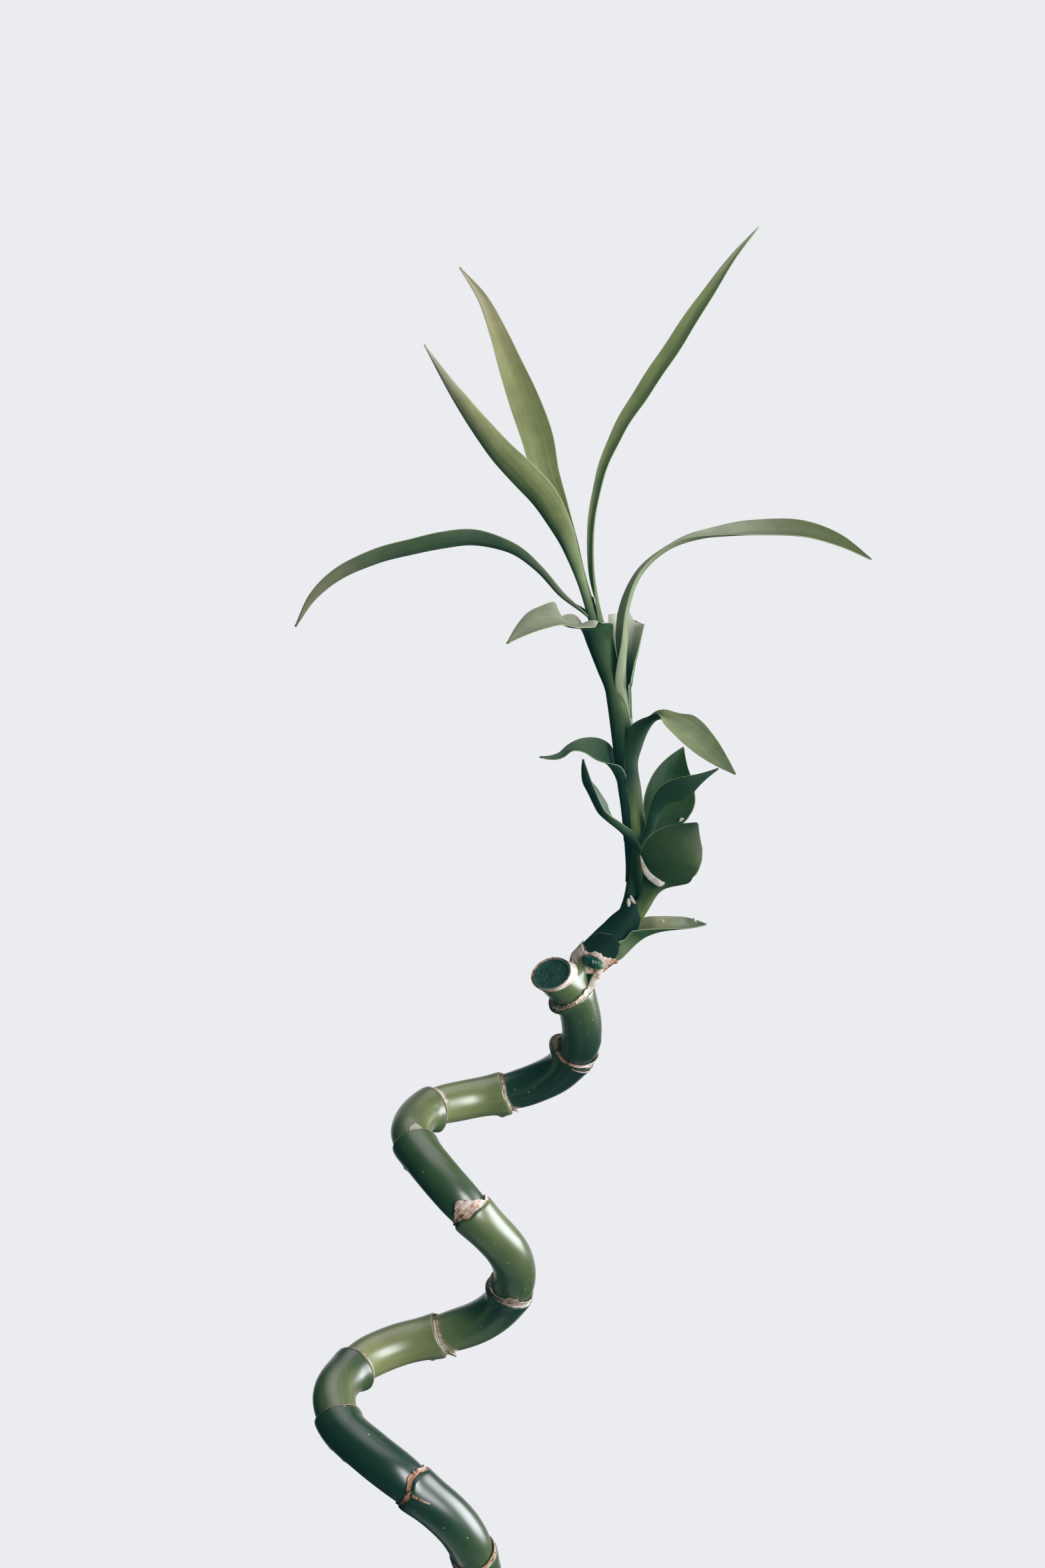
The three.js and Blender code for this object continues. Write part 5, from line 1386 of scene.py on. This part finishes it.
def vase_outline():
    """The vase's outline in radius and height, from under its middle, over the lip and down to the floor."""
    foot = [(0, FOOT_OUTLINE[0][1])] + [(VASE_FOOT_RADIUS - inset, z) for inset, z in FOOT_OUTLINE]
    outer = [(vase_radius(z), z) for z in range(OUTER_STEP, VASE_HEIGHT - OUTER_STEP, OUTER_STEP)]
    half = VASE_WALL / 2
    turns = [k * pi / LIP_STEPS for k in range(LIP_STEPS + 1)]
    lip = [(VASE_RIM_RADIUS - half + half * cos(a), VASE_HEIGHT + LIP_HEIGHT * (sin(a) - 1)) for a in turns]
    heights = range(VASE_HEIGHT - INNER_STEP, VASE_FLOOR + VASE_CORNER_HEIGHT, -INNER_STEP)
    inner = [(vase_radius(z) - VASE_WALL, z) for z in heights]
    floor = [(vase_radius(VASE_FLOOR) - VASE_WALL - VASE_CORNER, VASE_FLOOR), (0, VASE_FLOOR)]
    return foot + outer + lip + inner + floor


def make_vase():
    """The vase: its outline turned about its axis."""
    shape = turned_shape(vase_outline(), VASE_SIDES, VASE_SEAM)
    bmesh.ops.recalc_face_normals(shape, faces=shape.faces)
    new_piece("vase_fine", shape, [gloss_glaze()], ["vase"])


class Draw:
    """A seeded run of numbers."""

    def __init__(self, seed):
        self.seed = seed

    def between(self, low, high):
        self.seed = (self.seed * DRAW_FACTOR) % DRAW_RANGE
        return low + (high - low) * self.seed / DRAW_RANGE


def add_pebble(shape, layers, middle, size, turns, kind):
    """One worn stone: an icosphere squashed, turned and pushed about by noise."""
    spot, grain = layers
    turn = Matrix.Identity(3)
    for angle, axis in zip(turns, "XYZ"):
        turn = Matrix.Rotation(angle, 3, axis) @ turn
    for vert in bmesh.ops.create_icosphere(shape, subdivisions=4, radius=1.0)["verts"]:
        unit = vert.co.copy()
        lump = 1 + sum(height * noise.noise(unit * fineness + middle) for height, fineness in PEBBLE_LUMPS)
        vert.co = turn @ Vector([a * b * lump for a, b in zip(unit, size)]) + middle
        vert[spot] = (kind, 0, 0)
        vert[grain] = vert.co


def add_bed(shape, layers, reach):
    """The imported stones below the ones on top, as one plain body."""
    spot, grain = layers
    foot, top = VASE_FLOOR + BED_CLEAR, PEBBLE_TOP - BED_DROP
    foot_radius = vase_radius(VASE_FLOOR) - VASE_WALL - VASE_CORNER - BED_CLEAR
    bed = bmesh.ops.create_cone(
        shape, cap_ends=True, segments=BED_SIDES, radius1=foot_radius, radius2=reach, depth=top - foot)
    for vert in bed["verts"]:
        vert.co.z += (foot + top) / 2
        vert[spot] = (BED_KIND, 0, 0)
        vert[grain] = vert.co


def make_pebbles():
    """Rings of worn stones on a plain bed."""
    draw = Draw(PEBBLE_SEED)
    shape = bmesh.new()
    layers = [shape.verts.layers.float_vector.new(name) for name in ("spot", "grain")]
    reach = vase_radius(PEBBLE_TOP) - VASE_WALL - PEBBLE_CLEAR
    for ring in range(1, PEBBLE_RINGS + 1):
        r = min(reach - OUTER_RING_INSET, ring * RING_PITCH)
        count = round(2 * pi * r / PEBBLE_PITCH)
        for k in range(count):
            a = 2 * pi * (k + draw.between(*PEBBLE_STRAY)) / count + ring
            size = PEBBLE_RADIUS * draw.between(*PEBBLE_SIZES)
            wide = size * min(1.0, (reach - r) / size + PEBBLE_OVERLAP)
            scale = (size, wide * draw.between(*PEBBLE_WIDTHS), size * draw.between(*PEBBLE_HEIGHTS))
            turns = (draw.between(*PEBBLE_TILTS), draw.between(*PEBBLE_TILTS), a + pi / 2)
            middle = Vector((r * cos(a), r * sin(a), PEBBLE_TOP + draw.between(*PEBBLE_LEVELS)))
            add_pebble(shape, layers, middle, scale, turns, draw.between(0, 1))
    add_bed(shape, layers, reach)
    new_piece("pebbles_fine", shape, [river_stone()], ["pebble_bed"])


# Stage, light and camera, in metres

CAMERA_PLACE = (0.0105, -0.610, 0.3846)
PLANT_MIDDLE = (0.01, 0, 0.36)
STAGE_RINGS = (0, 0.6, 1.2, 1.9)  # radii of the flat floor's rings
STAGE_CORNER = 0.6
STAGE_HEIGHT = 3.2
STAGE_CORNER_STEPS = 8
STAGE_SIDES = 96
STAGE_SEAM = 1e-5
# Soft lights: degrees from the camera towards the right, degrees up, distance, width, height, radiance and
# colour
WINDOWS = {
    "window": (35, 6, 1.3, 0.5, 0.9, 11.5, "#f6faff"),
    "side_window": (97, 2, 1.3, 0.95, 1.0, 8.2, "#f4f9ff"),
}
ROOM_LIGHT = 0.022
# What glows in the room, the backdrop, the ceiling and the pale floor: the axis, where the glow starts and
# ends along it, and its strength
GLOWS = [("Y", 0.75, 1.0, 0.8), ("Z", 0.7, 1.0, 1.5), ("Z", -0.5, -1.0, 0.05)]
# The photo's faded film look, as curves of red, green and blue: blacks lifted towards teal, and reds held
# back in the shadows
FILM_CURVES = [
    [(0, 0.0015), (0.012, 0.0085), (0.035, 0.025), (0.09, 0.08), (0.16, 0.16), (0.5, 0.505)],
    [(0, 0.0112), (0.05, 0.058), (0.15, 0.152), (0.5, 0.502)],
    [(0, 0.0118), (0.05, 0.056), (0.15, 0.151), (0.5, 0.5)],
]


def make_stage():
    """A pale round floor that curves up into a wall, seen but throwing no light."""
    outline = [(radius, 0) for radius in STAGE_RINGS]
    edge = STAGE_RINGS[-1]
    for k in range(1, STAGE_CORNER_STEPS + 1):
        a = k * pi / 2 / STAGE_CORNER_STEPS
        outline.append((edge + STAGE_CORNER * sin(a), STAGE_CORNER - STAGE_CORNER * cos(a)))
    outline.append((edge + STAGE_CORNER, STAGE_HEIGHT))
    shape = turned_shape(outline, STAGE_SIDES, STAGE_SEAM)
    stage = in_scene("seamless_stage", smooth_mesh("seamless_stage", shape, [pale_seamless()]))
    stage.visible_diffuse = False
    stage.visible_glossy = False
    stage.visible_transmission = False
    stage.visible_shadow = False


def make_lamp(name, turn, tilt, distance, wide, high, radiance, colour):
    """A square soft light that looks at the plant's middle."""
    lamp = bpy.data.lights.new(name, "AREA")
    lamp.shape = "RECTANGLE"
    lamp.size = wide
    lamp.size_y = high
    lamp.energy = radiance * pi * wide * high
    lamp.color = linear(colour)[:3]
    holder = in_scene(name, lamp)
    away = Quaternion((0, 0, 1), radians(turn)) @ Quaternion((1, 0, 0), radians(-tilt)) @ Vector((0, -1, 0))
    holder.location = Vector(PLANT_MIDDLE) + away * distance
    holder.rotation_mode = "QUATERNION"
    holder.rotation_quaternion = away.to_track_quat("Z", "Y")
    holder.visible_camera = False


def make_light():
    """Soft daylight: a window and the bright wall beside it, a pale ceiling, and a dim room elsewhere."""
    for name, row in WINDOWS.items():
        make_lamp(name, *row)
    world = bpy.data.worlds.new("room_light")
    bpy.context.scene.world = world
    tree = bare_tree(world)
    parts = parts_of(tree, add_node(tree, "ShaderNodeTexCoord").outputs["Generated"])
    light = ROOM_LIGHT
    for axis, first, last, strength in GLOWS:
        glow = ranged(tree, parts[axis], first, last, interpolation_type="SMOOTHSTEP")
        terms = {0: glow, 1: strength, 2: light}
        light = add_node(tree, "ShaderNodeMath", terms, operation="MULTIPLY_ADD").outputs[0]
    sky = add_node(tree, "ShaderNodeBackground", {"Color": "#eef2f6", "Strength": light}).outputs[0]
    add_node(tree, "ShaderNodeOutputWorld", {"Surface": sky})


def make_grade():
    """Lays the film curves over the picture."""
    view = bpy.context.scene.view_settings
    view.view_transform = "Standard"
    view.use_curve_mapping = True
    for curve, points in zip(view.curve_mapping.curves, FILM_CURVES):
        curve.points[0].location = points[0]
        for point in points[1:]:
            curve.points.new(*point)
    view.curve_mapping.update()


def make_camera():
    """A 50 mm lens on full-frame film, level, that looks along +Y as the photo does."""
    lens = bpy.data.cameras.new("camera")
    lens.lens = 50
    lens.sensor_width = 36
    camera = in_scene("camera", lens)
    camera.location = CAMERA_PLACE
    camera.rotation_euler = (pi / 2, 0, 0)
    bpy.context.scene.camera = camera


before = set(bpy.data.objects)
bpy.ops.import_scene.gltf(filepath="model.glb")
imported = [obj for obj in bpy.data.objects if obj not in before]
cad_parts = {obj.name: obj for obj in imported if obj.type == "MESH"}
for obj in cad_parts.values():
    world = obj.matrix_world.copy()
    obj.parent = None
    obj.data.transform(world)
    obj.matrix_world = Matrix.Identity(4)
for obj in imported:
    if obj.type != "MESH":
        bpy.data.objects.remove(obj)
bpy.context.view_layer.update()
make_camera()
make_light()
make_grade()
make_stage()
make_cane()
make_husks()
make_shoot()
for leaf_name, leaf_shape in LEAVES.items():
    make_leaf(leaf_name, leaf_shape)
make_bud()
make_vase()
make_pebbles()
